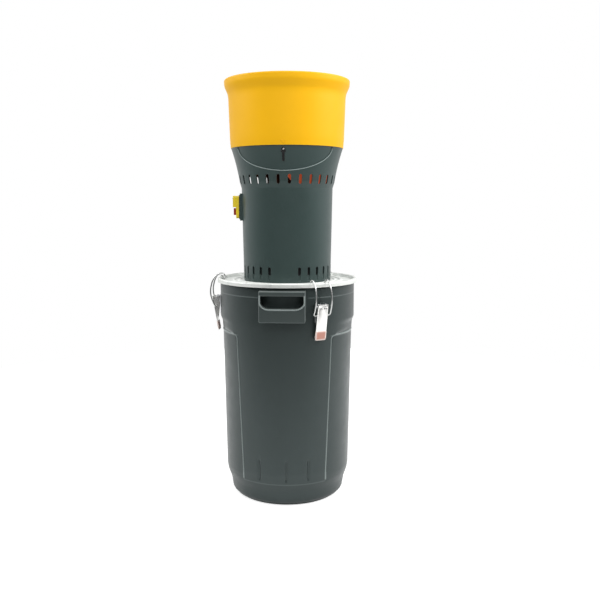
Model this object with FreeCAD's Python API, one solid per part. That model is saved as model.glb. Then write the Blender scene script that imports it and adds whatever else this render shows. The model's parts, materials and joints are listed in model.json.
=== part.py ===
# Electric grain mill: hopper and motor casing on a sheet-metal lid, clasped to a collecting bucket.
# Millimetres, +Z up, front towards -Y, origin under the middle of the bucket on the surface it stands on.

import FreeCAD, Part
import os
from math import cos, radians, sin, sqrt, tan
from FreeCAD import Vector

os.makedirs("parts", exist_ok=True)

# Fits and gaps
SHAFT_FIT = 0.02        # radial, pieces fixed on the shaft or in a seat
PIN_FIT = 0.05          # radial, pins and screws in their holes
RUN_GAP = 0.5           # between pieces that move past each other
SEAT_GAP = 0.1          # between curved pieces fixed together
CUT_MARGIN = 1.0        # how far a cutting tool runs past the face it cuts

# Bucket
BUCKET_RADIUS = 149.0   # upper band, outside
BUCKET_HEIGHT = 476.5
BUCKET_WALL = 3.0
BUCKET_SHOULDER_RADIUS = 139.5
BUCKET_SHOULDER_HEIGHT = 75.0
BUCKET_FOOT_RADIUS = 112.0
BAND_DEPTH = 76.5       # from the rim down to the end of the upper band
BAND_CORNER = 40.0
FOOT_CORNER = 7.0
SHOULDER_CORNER = 12.0
HEEL_INSET = 14.5       # these three insets are from the shoulder radius
HEEL_HEIGHT = 9.0
FOOT_BAND_INSET = 10.5
FOOT_BAND_TOP = 34.0
KNEE_INSET = 3.5
KNEE_HEIGHT = 53.0
RECESS_SLOPE = 28.0     # height of the slope at the top of a side recess
RECESS_DEPTH_TOP = 4.8
RECESS_DEPTH_BOTTOM = 1.8
RECESS_BOTTOM = 60.0
RECESS_BLEND = 5.0
RECESS_CORNER = 30.0
PANEL_HALF_TOP = 102.0  # half width of the proud front and back panels
PANEL_HALF_BOTTOM = 88.6
BAND_GROOVE_DROP = 26.5
BAND_GROOVE_RADIUS = 0.8
FLUTE_SPACING = 50.0
FLUTE_COUNT = 3
FLUTE_RADIUS = 2.5
FLUTE_DEPTH = 1.0
FLUTE_BOTTOM = 74.0
FLUTE_TOP = 104.0

# Bucket handles
HANDLE_WIDTH = 95.0
HANDLE_REACH = 22.0     # beyond the upper band
HANDLE_TOP_DROP = 4.5   # below the bucket rim
HANDLE_HEIGHT = 67.0
GRIP_BAR = 9.0
GRIP_OPENING = 30.0
HANDLE_WALL = 3.0
HANDLE_CORNER = 19.0
LIP_WIDTH = 2.4
LIP_HEIGHT = 1.2

# Lid and its seal
SEAL_THICKNESS = 2.5
SEAL_WIDTH = 4.5
LID_SHEET = 1.5
LID_OVERHANG = 6.0      # rim beyond the bucket
LID_BEAD_WIDTH = 7.0
LID_BEAD_RISE = 6.0
LID_BEAD_SLOPE = 2.0
LID_BEND = 1.2          # inside radius of the sheet's bends
LID_SKIRT_DROP = 3.0    # rim's lower edge below the deck
LID_RING_RISE = 2.2
LID_RING_WIDTH = 8.0
LID_RING_SPACING = 10.0
LID_RING_CORNER = 2.5
LID_RING_COUNT = 2

# Motor casing, heights above the lid deck
CASING_WALL = 3.0
CASING_FOOT_RADIUS = 96.3
CASING_NECK_GROWTH = 3.9      # the four growths are beyond the foot radius
CASING_NECK_HEIGHT = 201.5
CASING_SHOULDER_GROWTH = 7.7
CASING_SHOULDER_HEIGHT = 214.5
CASING_FLARE_GROWTH = 14.1
CASING_FLARE_HEIGHT = 246.5
CASING_TOP_GROWTH = 25.7
CASING_HEIGHT = 287.5
VENT_COUNT = 28
VENT_WIDTH = 6.6
UPPER_VENT_BOTTOM = 209.5
UPPER_VENT_TOP = 229.5
LOWER_VENT_BOTTOM = 16.5
LOWER_VENT_TOP = 34.5
VENT_GROOVE_BOTTOM = 5.5
VENT_GROOVE_DEPTH = 1.2
BADGE_HALF_WIDTH = 100.0
BADGE_HEIGHT = 51.0
BADGE_DEPTH = 1.2
BOSS_INSET = 10.3
BOSS_RADIUS = 8.0
BOSS_HEIGHT = 13.0
CASING_SCREW_RADIUS = 2.0
CASING_SCREW_HEAD = 4.0
CASING_SCREW_HEAD_HEIGHT = 3.0
CASING_SCREW_LENGTH = 11.5

# Hopper and its screws
HOPPER_HEIGHT = 144.0
HOPPER_WALL = 3.0
HOPPER_STEP = 1.6       # hopper foot beyond the casing top
HOPPER_TAPER = 4.2      # wall's growth in radius up to the lip
LIP_START = 27.0        # below the top
LIP_FLARE = 8.2
LIP_SWEEP = 20.0        # radius where the wall turns out
LIP_EDGE = 7.0          # upright edge of the lip
LIP_ROUND = 1.5
LIP_BEVEL = 2.5
SKIRT_HEIGHT = 17.0
SKIRT_GROOVE = 0.5
FUNNEL_TOP = 32.0       # above the seam, where its rim rests on a ledge
FUNNEL_RIM = 3.0
FLOOR_DROP = 33.0       # below the seam
ARROW_WIDTH = 9.0
ARROW_HEIGHT = 8.0
ARROW_RISE = 0.9
ARROW_BASE = 2.0        # above the seam
LUG_INSET = 16.0        # lug's inner face inside the casing's top radius
LUG_THICKNESS = 5.0
LUG_WIDTH = 14.0
LUG_LENGTH = 20.0
PAD_WIDTH = 18.0
HOPPER_SCREW_DROP = 8.0
HOPPER_SCREW_RADIUS = 2.0
HOPPER_SCREW_HEAD = 3.6
HOPPER_SCREW_HEAD_HEIGHT = 2.2
HOPPER_SCREW_SEAT = 5.5  # inside the casing's top radius
NOTCH_WIDTH = 5.0
NOTCH_LENGTH = 18.0
NOTCH_DEPTH = 2.4

# Feed: shutter in the hopper floor, cup and tube to the lid
FEED_TUBE_RADIUS = 17.5
FEED_TUBE_WALL = 2.0
FEED_TUBE_GAP = 2.5     # to the casing wall
FEED_NECK_HEIGHT = 168.0
SHUTTER_REACH = 36.0    # pivot to outlet
SHUTTER_COVER = 20.0
SHUTTER_HUB = 13.0
SHUTTER_THICKNESS = 2.0
SHUTTER_EDGE_GAP = 2.0
SHUTTER_LIFT = 0.2
SHUTTER_PIN_RADIUS = 4.0
SHUTTER_PIN_HEAD = 8.0
SHUTTER_PIN_HEAD_HEIGHT = 3.0
SHUTTER_PIN_TAIL = 6.0
SHUTTER_PIN_TAIL_HEIGHT = 2.5
KNOB_RADIUS = 5.0
KNOB_HEIGHT = 16.0
KNOB_STUD_RADIUS = 2.0

# Motor, heights above the lid deck
MOTOR_RADIUS = 52.0
SHAFT_RADIUS = 6.0
SHAFT_TOP = 181.0
BEARING_RADIUS = 14.0
BEARING_HEIGHT = 10.0
BEARING_GROOVE = 0.8
BRACKET_PLATE = 4.0
BRACKET_LIP = 1.5
BRACKET_HUB = 19.0
POST_INNER_RADIUS = 43.0
POST_WIDTH = 10.0
BOLT_CIRCLE = 47.5
BOLT_RADIUS = 2.0
BOLT_HEAD = 4.0
BOLT_HEAD_HEIGHT = 3.0
BOLT_END = 1.5
NUT_HEIGHT = 3.5
STATOR_BOTTOM = 54.5
STATOR_HEIGHT = 50.0
ARMATURE_RADIUS = 27.3
AIR_GAP = 1.0
WINDOW_INNER = 15.0
WINDOW_WIDTH = 10.0
WINDOW_BOTTOM = 29.5    # radial place of the coil windows
WINDOW_DEPTH = 10.0
COIL_GAP = 0.4
COIL_END = 9.0
SLOT_COUNT = 12
SLOT_WIDTH = 4.0
SLOT_INNER_RADIUS = 17.0
WINDING_RADIUS = 25.0
WINDING_INNER_RADIUS = 9.0
WINDING_END = 11.0
WINDING_LAP = 0.5       # how far the slot bars run into the end turns
COMMUTATOR_RADIUS = 16.0
COMMUTATOR_BOTTOM = 131.5
COMMUTATOR_HEIGHT = 20.0
COMMUTATOR_BARS = 24
COMMUTATOR_GAP = 0.8
COMMUTATOR_GAP_DEPTH = 1.2
UPPER_PLATE_BOTTOM = 159.5
BRUSH_WIDTH = 8.0
BRUSH_LENGTH = 20.0
BRUSH_GAP = 0.3
HOLDER_WALL = 2.0
HOLDER_SETBACK = 3.0    # holder's mouth from the commutator
HOLDER_SPRING_ROOM = 2.0
FAN_RADIUS = 40.0
FAN_BOTTOM = 24.5
FAN_HEIGHT = 12.0
FAN_PLATE = 2.0
FAN_HUB = 12.0
FAN_BLADES = 9
FAN_BLADE_THICKNESS = 1.6

# Mill under the lid
SCREEN_RADIUS = 95.5
SCREEN_SHEET = 1.5
SCREEN_HEIGHT = 54.0
SCREEN_HOLE_RADIUS = 2.5
SCREEN_HOLES_AROUND = 36
SCREEN_HOLE_ROWS = 3
COVER_THICKNESS = 2.0
STUD_RADIUS = 3.0
STUD_OFFSET = 8.0       # stud axis outside the screen
STUD_TAIL = 12.0
COVER_EDGE = 7.0        # cover beyond the stud axis
WING_NUT_RADIUS = 6.0
WING_NUT_HEIGHT = 7.0
WING_SPAN = 13.0
WING_THICKNESS = 2.0
WING_DROP = 5.0
WING_ROOT = 3.0
WING_CORNER = 2.0
SPACER_RADIUS = 10.0
BLADE_DROP = 25.0       # lid underside to blade
BLADE_GAP = 6.0         # blade tip to screen
BLADE_WIDTH = 30.0
BLADE_THICKNESS = 4.0
BLADE_TIP_WIDTH = 22.0
WASHER_RADIUS = 12.0
WASHER_THICKNESS = 2.5
BLADE_NUT_FLATS = 19.0
BLADE_NUT_HEIGHT = 8.0
SHAFT_TAIL = 2.5

# Starter switch on the left side, heights above the lid deck
SWITCH_BOTTOM = 134.5
SWITCH_HEIGHT = 53.0
SWITCH_WIDTH = 46.0
SWITCH_PAD_MARGIN = 3.0
SWITCH_PAD_STEP = 1.8
GASKET_THICKNESS = 6.0
GASKET_CORNER = 4.0
BEZEL_MARGIN = 2.0
BEZEL_DEPTH = 12.0
BEZEL_CORNER = 3.5
BEZEL_STEP = 5.0
BEZEL_STEP_HEIGHT = 26.0
BUTTON_WIDTH = 18.0
BUTTON_HEIGHT = 15.0
BUTTON_TRAVEL = 3.0
BUTTON_STOP = 0.5
BUTTON_GAP = 0.4
STOP_BUTTON_PROUD = 5.0
STOP_BUTTON_BOTTOM = 9.0
START_BUTTON_BOTTOM = 30.0
SWITCH_BODY_WIDTH = 24.0
SWITCH_BODY_MARGIN = 7.0
SWITCH_BODY_DEPTH = 40.0
SWITCH_SCREW_RADIUS = 1.5
SWITCH_SCREW_HEAD = 2.8
SWITCH_SCREW_HEAD_HEIGHT = 2.0
SWITCH_SCREW_INSET = 5.0
SWITCH_SCREW_BITE = 5.0

# Cable gland at the back of the casing
GLAND_HEIGHT = 47.5
GLAND_BORE = 4.0
GLAND_SHANK = 6.0
GLAND_FLANGE = 9.0
GLAND_COLLAR = 7.5
GLAND_LENGTH = 13.0
GLAND_TAIL = 8.0

# Toggle clasps, in a frame where +X points outwards
CLASP_ANGLES = {"right_front": -60.0, "right_rear": 60.0, "left": 180.0}
CLASP_PLATE_THICKNESS = 2.0
CLASP_PLATE_ABOVE = 4.0
CLASP_PLATE_BELOW = 34.0
PIVOT_REACH = 9.0       # pivot outside the bucket
PIVOT_DROP = 38.5       # pivot below the bucket rim
PIVOT_RADIUS = 2.0
PIVOT_HEAD = 3.2
PIVOT_HEAD_HEIGHT = 1.0
EAR_RADIUS = 6.5
EAR_THICKNESS = 2.0
LEVER_WIDTH = 24.0
LEVER_SHEET = 1.5
LEVER_ABOVE = 5.0
LEVER_BELOW = 70.0
LEVER_TOP_REACH = 10.0
LEVER_TIP_REACH = -3.0
CHEEK_LENGTH = 51.0
CHEEK_BACK_TOP = 4.0
CHEEK_BACK = 5.0
CHEEK_BACK_DROP = 6.0
CHEEK_SWEEP = 10.0
CHEEK_ROUND = 4.0
SLEEVE_WALL = 1.2
SLEEVE_LENGTH = 18.0
WIRE_RADIUS = 1.5
WIRE_BEND = 3.2
BAIL_BOW_BEND = 40.0
BAIL_OVER_BEND = 10.0
BAIL_PIVOT_REACH = 2.0
BAIL_PIVOT_DROP = 18.0
BAIL_HALF_WIDTH = 18.5
BAIL_TOP_HALF_WIDTH = 17.0
BAIL_BOW = 24.0         # outside the bucket
BAIL_BOW_DROP = 26.5
BAIL_OVER_REACH = 9.0
BAIL_OVER_RISE = 12.5   # above the lid deck
BAIL_HOOK_RISE = 11.0
BAIL_HOOK_INSET = 6.0
BAIL_CROSSBAR_RISE = 2.6
BAIL_TAIL = 9.0
RIVET_RADIUS = 2.0
RIVET_HEAD = 3.5
RIVET_HEAD_HEIGHT = 1.2
RIVET_DROPS = (12.0, 26.0)

# Levels and places that follow from the sizes above
LID_UNDERSIDE = BUCKET_HEIGHT + SEAL_THICKNESS
DECK = LID_UNDERSIDE + LID_SHEET
LID_RADIUS = BUCKET_RADIUS + LID_OVERHANG
SEAM = DECK + CASING_HEIGHT
CASING_NECK_RADIUS = CASING_FOOT_RADIUS + CASING_NECK_GROWTH
CASING_SHOULDER_RADIUS = CASING_FOOT_RADIUS + CASING_SHOULDER_GROWTH
CASING_FLARE_RADIUS = CASING_FOOT_RADIUS + CASING_FLARE_GROWTH
CASING_TOP_RADIUS = CASING_FOOT_RADIUS + CASING_TOP_GROWTH
TOP = SEAM + HOPPER_HEIGHT
HOPPER_FLOOR = SEAM - FLOOR_DROP
HOPPER_FOOT_RADIUS = CASING_TOP_RADIUS + HOPPER_STEP
LUG_INNER_RADIUS = CASING_TOP_RADIUS - LUG_INSET
BAND_BOTTOM = BUCKET_HEIGHT - BAND_DEPTH
BOSS_CIRCLE = CASING_FOOT_RADIUS - BOSS_INSET
FEED_X = CASING_FOOT_RADIUS - CASING_WALL - FEED_TUBE_GAP - FEED_TUBE_RADIUS
FEED_BORE = FEED_TUBE_RADIUS - FEED_TUBE_WALL
SHUTTER_X = FEED_X - SHUTTER_REACH
FLOOR_RADIUS = SHUTTER_REACH + SHUTTER_COVER + SHUTTER_EDGE_GAP
STATOR_BASE = DECK + STATOR_BOTTOM
STATOR_TOP = STATOR_BASE + STATOR_HEIGHT
UPPER_PLATE = DECK + UPPER_PLATE_BOTTOM
LOWER_BEARING = DECK + BRACKET_PLATE + BRACKET_LIP
UPPER_BEARING = UPPER_PLATE + BRACKET_PLATE + BRACKET_LIP
SPACER_HOLE = SPACER_RADIUS + RUN_GAP + SEAL_THICKNESS
SCREEN_BOTTOM = LID_UNDERSIDE - SCREEN_HEIGHT
STUD_CIRCLE = SCREEN_RADIUS + STUD_OFFSET
BLADE_TOP = LID_UNDERSIDE - BLADE_DROP
BLADE_REACH = SCREEN_RADIUS - SCREEN_SHEET - BLADE_GAP
NUT_TOP = BLADE_TOP - BLADE_THICKNESS - WASHER_THICKNESS
SWITCH_BASE = DECK + SWITCH_BOTTOM
SWITCH_TOP = SWITCH_BASE + SWITCH_HEIGHT
SWITCH_PAD_REACH = CASING_NECK_RADIUS + SWITCH_PAD_STEP
GASKET_FACE = SWITCH_PAD_REACH + GASKET_THICKNESS
BEZEL_FACE = GASKET_FACE + BEZEL_DEPTH
BUTTON_BACK = GASKET_FACE - RUN_GAP
SWITCH_BODY_FACE = BUTTON_BACK - BUTTON_TRAVEL - BUTTON_STOP
PIVOT = (BUCKET_RADIUS + PIVOT_REACH, BUCKET_HEIGHT - PIVOT_DROP)
BAIL_PIVOT = (PIVOT[0] + BAIL_PIVOT_REACH, PIVOT[1] - BAIL_PIVOT_DROP)
BOLT_ANGLES = (45.0, 135.0, 225.0, 315.0)
HOPPER_SCREW_ANGLES = (-90.0, 30.0, 150.0)
STUD_ANGLES = (90.0, 210.0, 330.0)
FAR = 3.0 * LID_RADIUS


# Shape helpers
def cylinder(radius, bottom, top, x=0.0, y=0.0):
    return Part.makeCylinder(radius, top - bottom, Vector(x, y, bottom))


def tube(radius, bore, bottom, top, x=0.0, y=0.0):
    return cylinder(radius, bottom, top, x, y).cut(cylinder(bore, bottom, top, x, y))


def block(x0, x1, y0, y1, z0, z1):
    return Part.makeBox(x1 - x0, y1 - y0, z1 - z0, Vector(x0, y0, z0))


def rod_out(radius, inner, outer, y, z):
    """Round rod along +X."""
    return Part.makeCylinder(radius, outer - inner, Vector(inner, y, z), Vector(1, 0, 0))


def rod_across(radius, half_length, x, z):
    """Round rod along Y, centred on the XZ plane."""
    return Part.makeCylinder(radius, 2 * half_length, Vector(x, -half_length, z), Vector(0, 1, 0))


def turned(shape, degrees):
    copy = shape.copy()
    copy.rotate(Vector(0, 0, 0), Vector(0, 0, 1), degrees)
    return copy


def around(shape, angles):
    return [turned(shape, angle) for angle in angles]


def even_angles(count, first=0.0):
    return [first + 360.0 * i / count for i in range(count)]


def group(solids):
    return Part.makeCompound(solids)


def corner_arc(before, point, after, radius):
    """Start, middle and end of the arc that rounds one corner."""
    into = (point - before).normalize()
    out = (after - point).normalize()
    half_turn = into.getAngle(out) / 2
    reach = radius * tan(half_turn)
    inward = (out - into).normalize()
    middle = point + inward * (radius / cos(half_turn) - radius)
    return point - into * reach, middle, point + out * reach


def rounded_edges(corners, closed):
    """Straight edges through (point, radius) corners, joined by tangent arcs."""
    count = len(corners)
    arcs = []
    for i, (point, radius) in enumerate(corners):
        if radius and (closed or 0 < i < count - 1):
            arcs.append(corner_arc(corners[i - 1][0], point, corners[(i + 1) % count][0], radius))
        else:
            arcs.append((point, point, point))
    edges = []
    for i, (start, middle, end) in enumerate(arcs):
        if start != end:
            edges.append(Part.Arc(start, middle, end).toShape())
        follow = arcs[(i + 1) % count][0]
        if (closed or i < count - 1) and (follow - end).Length > 1e-6:
            edges.append(Part.LineSegment(end, follow).toShape())
    return Part.Wire(edges)


def outline(points):
    """Face in the XZ plane from (x, z) or (x, z, corner radius) points."""
    corners = [(Vector(p[0], 0, p[1]), p[2] if len(p) > 2 else 0.0) for p in points]
    return Part.Face(rounded_edges(corners, True))


def spun(points):
    return outline(points).revolve(Vector(0, 0, 0), Vector(0, 0, 1), 360)


def bar(points, y0, y1):
    """Outline in the XZ plane carried along Y."""
    face = outline(points)
    face.translate(Vector(0, y0, 0))
    return face.extrude(Vector(0, y1 - y0, 0))


def circle_wire(radius, x, z):
    return Part.Wire(Part.Circle(Vector(x, 0, z), Vector(0, 0, 1), radius).toShape())


def cone_between(radius_a, x_a, z_a, radius_b, x_b, z_b):
    """Slanting cone between two level circles."""
    return Part.makeLoft([circle_wire(radius_a, x_a, z_a), circle_wire(radius_b, x_b, z_b)], True, True)


# Bucket
def bucket_form(inset):
    """Filled outer form of the bucket, drawn in by an inset: proud panels and recessed sides."""
    band = BUCKET_RADIUS - inset
    shoulder = BUCKET_SHOULDER_RADIUS - inset
    proud = spun([
        (0, inset),
        (BUCKET_FOOT_RADIUS - inset, inset, FOOT_CORNER),
        (shoulder - HEEL_INSET, HEEL_HEIGHT + inset, FOOT_CORNER),
        (shoulder - FOOT_BAND_INSET, FOOT_BAND_TOP, FOOT_CORNER),
        (shoulder - KNEE_INSET, KNEE_HEIGHT, FOOT_CORNER),
        (shoulder, BUCKET_SHOULDER_HEIGHT, SHOULDER_CORNER),
        (band, BAND_BOTTOM, BAND_CORNER),
        (band, BUCKET_HEIGHT),
        (0, BUCKET_HEIGHT),
    ])
    recess = spun([
        (0, RECESS_BOTTOM - RECESS_BLEND),
        (shoulder - RECESS_DEPTH_BOTTOM, RECESS_BOTTOM - RECESS_BLEND),
        (band - RECESS_DEPTH_TOP, BAND_BOTTOM - RECESS_SLOPE, RECESS_CORNER),
        (band, BAND_BOTTOM),
        (band, BAND_BOTTOM + RECESS_BLEND),
        (0, BAND_BOTTOM + RECESS_BLEND),
    ])
    side = bar([
        (PANEL_HALF_BOTTOM - inset, RECESS_BOTTOM),
        (FAR, RECESS_BOTTOM),
        (FAR, BAND_BOTTOM),
        (PANEL_HALF_TOP - inset, BAND_BOTTOM),
    ], -FAR, FAR).cut(recess)
    return proud.cut([side, turned(side, 180)])


def handle_outline(half_width, bottom, top, corner):
    left = [(-half_width, top), (-half_width, bottom, corner)]
    return left + [(half_width, bottom, corner), (half_width, top)]


def handle_solids():
    """Front handle: what is added to the bucket, and the pockets cut from it."""
    face = -(BUCKET_RADIUS + HANDLE_REACH)
    half = HANDLE_WIDTH / 2
    top = BUCKET_HEIGHT - HANDLE_TOP_DROP
    bottom = top - HANDLE_HEIGHT
    opening_top = top - GRIP_BAR
    opening_bottom = opening_top - GRIP_OPENING
    opening_half = half - HANDLE_WALL
    core = cylinder(BUCKET_RADIUS, bottom - CUT_MARGIN, top + CUT_MARGIN)
    opening = handle_outline(opening_half, opening_bottom, opening_top, HANDLE_CORNER)
    rim_half = opening_half + LIP_WIDTH
    rim = handle_outline(rim_half, opening_bottom - LIP_WIDTH, opening_top, HANDLE_CORNER + LIP_WIDTH)
    inside = BUCKET_RADIUS - BUCKET_WALL
    back = -sqrt(inside * inside - half * half)
    added = bar(handle_outline(half, bottom, top, HANDLE_CORNER / 2), face, back)
    added = added.fuse(bar(rim, face - LIP_HEIGHT, face))
    added = added.cut(cylinder(inside, bottom - CUT_MARGIN, top + CUT_MARGIN))
    pocket = bar(opening, face - LIP_HEIGHT - CUT_MARGIN, 0).cut(core)
    hollow_top = opening_bottom - HANDLE_WALL
    front = face + HANDLE_WALL
    hollow = block(-opening_half, opening_half, front, 0, bottom - CUT_MARGIN, hollow_top).cut(core)
    return added, [pocket, hollow]


def flutes():
    """Shallow upright grooves low on the front panel."""
    first = -FLUTE_SPACING * (FLUTE_COUNT - 1) / 2
    tools = []
    for i in range(FLUTE_COUNT):
        x = first + i * FLUTE_SPACING
        slope = (BUCKET_RADIUS - BUCKET_SHOULDER_RADIUS) / (BAND_BOTTOM - BUCKET_SHOULDER_HEIGHT)
        radius = BUCKET_SHOULDER_RADIUS + slope * (FLUTE_BOTTOM - BUCKET_SHOULDER_HEIGHT)
        y = -sqrt(radius * radius - x * x) + FLUTE_DEPTH - FLUTE_RADIUS
        tools.append(cylinder(FLUTE_RADIUS, FLUTE_BOTTOM, FLUTE_TOP, x, y))
    return tools


def bucket():
    added, pockets = handle_solids()
    shell = bucket_form(0.0).fuse([added, turned(added, 180)])
    groove_centre = Vector(0, 0, BUCKET_HEIGHT - BAND_GROOVE_DROP)
    groove = Part.makeTorus(BUCKET_RADIUS, BAND_GROOVE_RADIUS, groove_centre)
    groove = groove.cut(block(-HANDLE_WIDTH / 2, HANDLE_WIDTH / 2, -FAR, FAR, 0, BUCKET_HEIGHT))
    cuts = pockets + around(pockets[0], [180]) + around(pockets[1], [180]) + [groove] + flutes()
    inner = bucket_form(BUCKET_WALL).fuse(cylinder(BUCKET_RADIUS - BUCKET_WALL, BAND_BOTTOM, BUCKET_HEIGHT))
    shell = shell.cut(cuts).cut(inner)
    return shell.cut([turned(hole, a) for a in CLASP_ANGLES.values() for hole in rivet_holes()])


# Lid
def lid():
    bead_inner = LID_RADIUS - LID_BEAD_WIDTH
    bead_top = DECK + LID_BEAD_RISE
    outer_bend = LID_BEND + LID_SHEET
    foot = bead_inner - LID_BEAD_SLOPE
    plate = spun([
        (0, LID_UNDERSIDE),
        (foot + LID_SHEET, LID_UNDERSIDE, LID_BEND),
        (bead_inner + LID_SHEET, bead_top - LID_SHEET, LID_BEND),
        (LID_RADIUS - LID_SHEET, bead_top - LID_SHEET, LID_BEND),
        (LID_RADIUS - LID_SHEET, DECK - LID_SKIRT_DROP),
        (LID_RADIUS, DECK - LID_SKIRT_DROP),
        (LID_RADIUS, bead_top, outer_bend),
        (bead_inner, bead_top, outer_bend),
        (foot, DECK, LID_BEND),
        (0, DECK),
    ])
    for i in range(LID_RING_COUNT):
        middle = CASING_FOOT_RADIUS + LID_RING_SPACING + i * (LID_RING_WIDTH + LID_RING_SPACING / 2)
        half = LID_RING_WIDTH / 2
        crown = [(middle - half, 0), (middle - half / 2, LID_RING_RISE, LID_RING_CORNER)]
        crown += [(middle + half / 2, LID_RING_RISE, LID_RING_CORNER), (middle + half, 0)]
        plate = plate.fuse(spun([(p[0], DECK + p[1]) + p[2:] for p in crown]))
        plate = plate.cut(spun([(p[0], LID_UNDERSIDE + p[1]) + p[2:] for p in crown]))
    holes = [cylinder(SPACER_HOLE, LID_UNDERSIDE, DECK), cylinder(FEED_BORE, LID_UNDERSIDE, DECK, FEED_X)]
    holes += around(cylinder(CASING_SCREW_RADIUS + PIN_FIT, LID_UNDERSIDE, DECK, BOSS_CIRCLE), BOLT_ANGLES)
    holes += around(cylinder(BOLT_RADIUS + PIN_FIT, LID_UNDERSIDE, DECK, BOLT_CIRCLE), BOLT_ANGLES)
    return plate.cut(holes)


def lid_seal():
    return tube(BUCKET_RADIUS, BUCKET_RADIUS - SEAL_WIDTH, BUCKET_HEIGHT, LID_UNDERSIDE)


# Motor casing
def casing_form(inset):
    """Filled form of the casing between the lid deck and the hopper."""
    foot = Vector(CASING_FOOT_RADIUS - inset, 0, DECK)
    neck = Vector(CASING_NECK_RADIUS - inset, 0, DECK + CASING_NECK_HEIGHT)
    shoulder = Vector(CASING_SHOULDER_RADIUS - inset, 0, DECK + CASING_SHOULDER_HEIGHT)
    flare = Vector(CASING_FLARE_RADIUS - inset, 0, DECK + CASING_FLARE_HEIGHT)
    top = Vector(CASING_TOP_RADIUS - inset, 0, SEAM)
    axis_top = Vector(0, 0, SEAM)
    axis_foot = Vector(0, 0, DECK)
    edges = [
        Part.LineSegment(axis_foot, foot).toShape(),
        Part.LineSegment(foot, neck).toShape(),
        Part.LineSegment(neck, shoulder).toShape(),
        Part.Arc(shoulder, flare, top).toShape(),
        Part.LineSegment(top, axis_top).toShape(),
        Part.LineSegment(axis_top, axis_foot).toShape(),
    ]
    return Part.Face(Part.Wire(edges)).revolve(Vector(0, 0, 0), Vector(0, 0, 1), 360)


def casing_radius(height):
    """Outside of the casing at a height above the deck, below its neck."""
    return CASING_FOOT_RADIUS + (CASING_NECK_RADIUS - CASING_FOOT_RADIUS) * height / CASING_NECK_HEIGHT


def vent_tool(bottom, top):
    """Upright round-ended slot through the casing wall at +X."""
    half = VENT_WIDTH / 2
    inner = CASING_FOOT_RADIUS - 2 * CASING_WALL
    outer = CASING_TOP_RADIUS
    low = rod_out(half, inner, outer, 0, bottom + half)
    high = rod_out(half, inner, outer, 0, top - half)
    return block(inner, outer, -half, half, bottom + half, top - half).fuse([low, high])


def lower_vent_angles():
    """Every vent place but the two beside the front."""
    step = 360.0 / VENT_COUNT
    return [-90.0 + step * (i + 0.5) for i in range(1, VENT_COUNT - 1)]


def screw_pad():
    """Thickening inside the casing that takes a hopper screw."""
    inner = LUG_INNER_RADIUS + LUG_THICKNESS
    half = PAD_WIDTH / 2
    return block(inner, CASING_TOP_RADIUS, -half, half, SEAM - LUG_LENGTH, SEAM)


def motor_casing():
    outer = casing_form(0.0)
    inner = casing_form(CASING_WALL)
    pads = [pad.common(outer) for pad in around(screw_pad(), HOPPER_SCREW_ANGLES)]
    bosses = around(cylinder(BOSS_RADIUS, DECK, DECK + BOSS_HEIGHT, BOSS_CIRCLE), BOLT_ANGLES)
    bosses = [boss.common(outer) for boss in bosses]
    half = SWITCH_WIDTH / 2 + SWITCH_PAD_MARGIN
    low = SWITCH_BASE - SWITCH_PAD_MARGIN
    high = SWITCH_TOP + SWITCH_PAD_MARGIN
    pad_inner = CASING_FOOT_RADIUS - 4 * CASING_WALL
    switch_pad = block(-SWITCH_PAD_REACH, -pad_inner, -half, half, low, high)
    switch_pad = switch_pad.cut(casing_form(2 * CASING_WALL))
    shell = outer.cut(inner).fuse(pads + bosses + [switch_pad])

    first = -90.0 + 180.0 / VENT_COUNT
    upper_vent = vent_tool(DECK + UPPER_VENT_BOTTOM, DECK + UPPER_VENT_TOP)
    vents = around(upper_vent, even_angles(VENT_COUNT, first))
    vents += around(vent_tool(DECK + LOWER_VENT_BOTTOM, DECK + LOWER_VENT_TOP), lower_vent_angles())
    groove = vent_tool(DECK + VENT_GROOVE_BOTTOM, DECK + LOWER_VENT_BOTTOM + VENT_WIDTH)
    groove = groove.cut(casing_form(VENT_GROOVE_DEPTH))
    vents += around(groove, lower_vent_angles())
    shell = shell.cut(vents)

    ellipse = Part.Ellipse(Vector(0, 0, SEAM), BADGE_HALF_WIDTH, BADGE_HEIGHT)
    ellipse.Axis = Vector(0, -1, 0)
    ellipse.XAxis = Vector(1, 0, 0)
    badge = Part.Face(Part.Wire(ellipse.toShape())).extrude(Vector(0, -FAR, 0)).cut(casing_form(BADGE_DEPTH))

    screw_z = SEAM - HOPPER_SCREW_DROP
    head_seat = CASING_TOP_RADIUS - HOPPER_SCREW_SEAT
    half_notch = NOTCH_WIDTH / 2
    notch = block(LUG_INNER_RADIUS, FAR, -half_notch, half_notch, screw_z - NOTCH_LENGTH, screw_z)
    notch = notch.cut(casing_form(NOTCH_DEPTH))
    head_hole = rod_out(HOPPER_SCREW_HEAD + RUN_GAP, head_seat, FAR, 0, screw_z)
    screw_hole = rod_out(HOPPER_SCREW_RADIUS + PIN_FIT, LUG_INNER_RADIUS, FAR, 0, screw_z)
    cuts = [badge] + around(notch, HOPPER_SCREW_ANGLES)
    cuts += around(head_hole, HOPPER_SCREW_ANGLES) + around(screw_hole, HOPPER_SCREW_ANGLES)
    boss_hole = cylinder(CASING_SCREW_RADIUS + PIN_FIT, DECK, DECK + CASING_SCREW_LENGTH, BOSS_CIRCLE)
    cuts += around(boss_hole, BOLT_ANGLES)
    gland_hole = rod_out(GLAND_SHANK + PIN_FIT, CASING_FOOT_RADIUS / 2, FAR, 0, DECK + GLAND_HEIGHT)
    cuts.append(turned(gland_hole, 90))
    cuts.append(switch_opening())
    cuts += switch_screw_rods(SWITCH_SCREW_RADIUS + PIN_FIT)
    return shell.cut(cuts)


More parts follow.
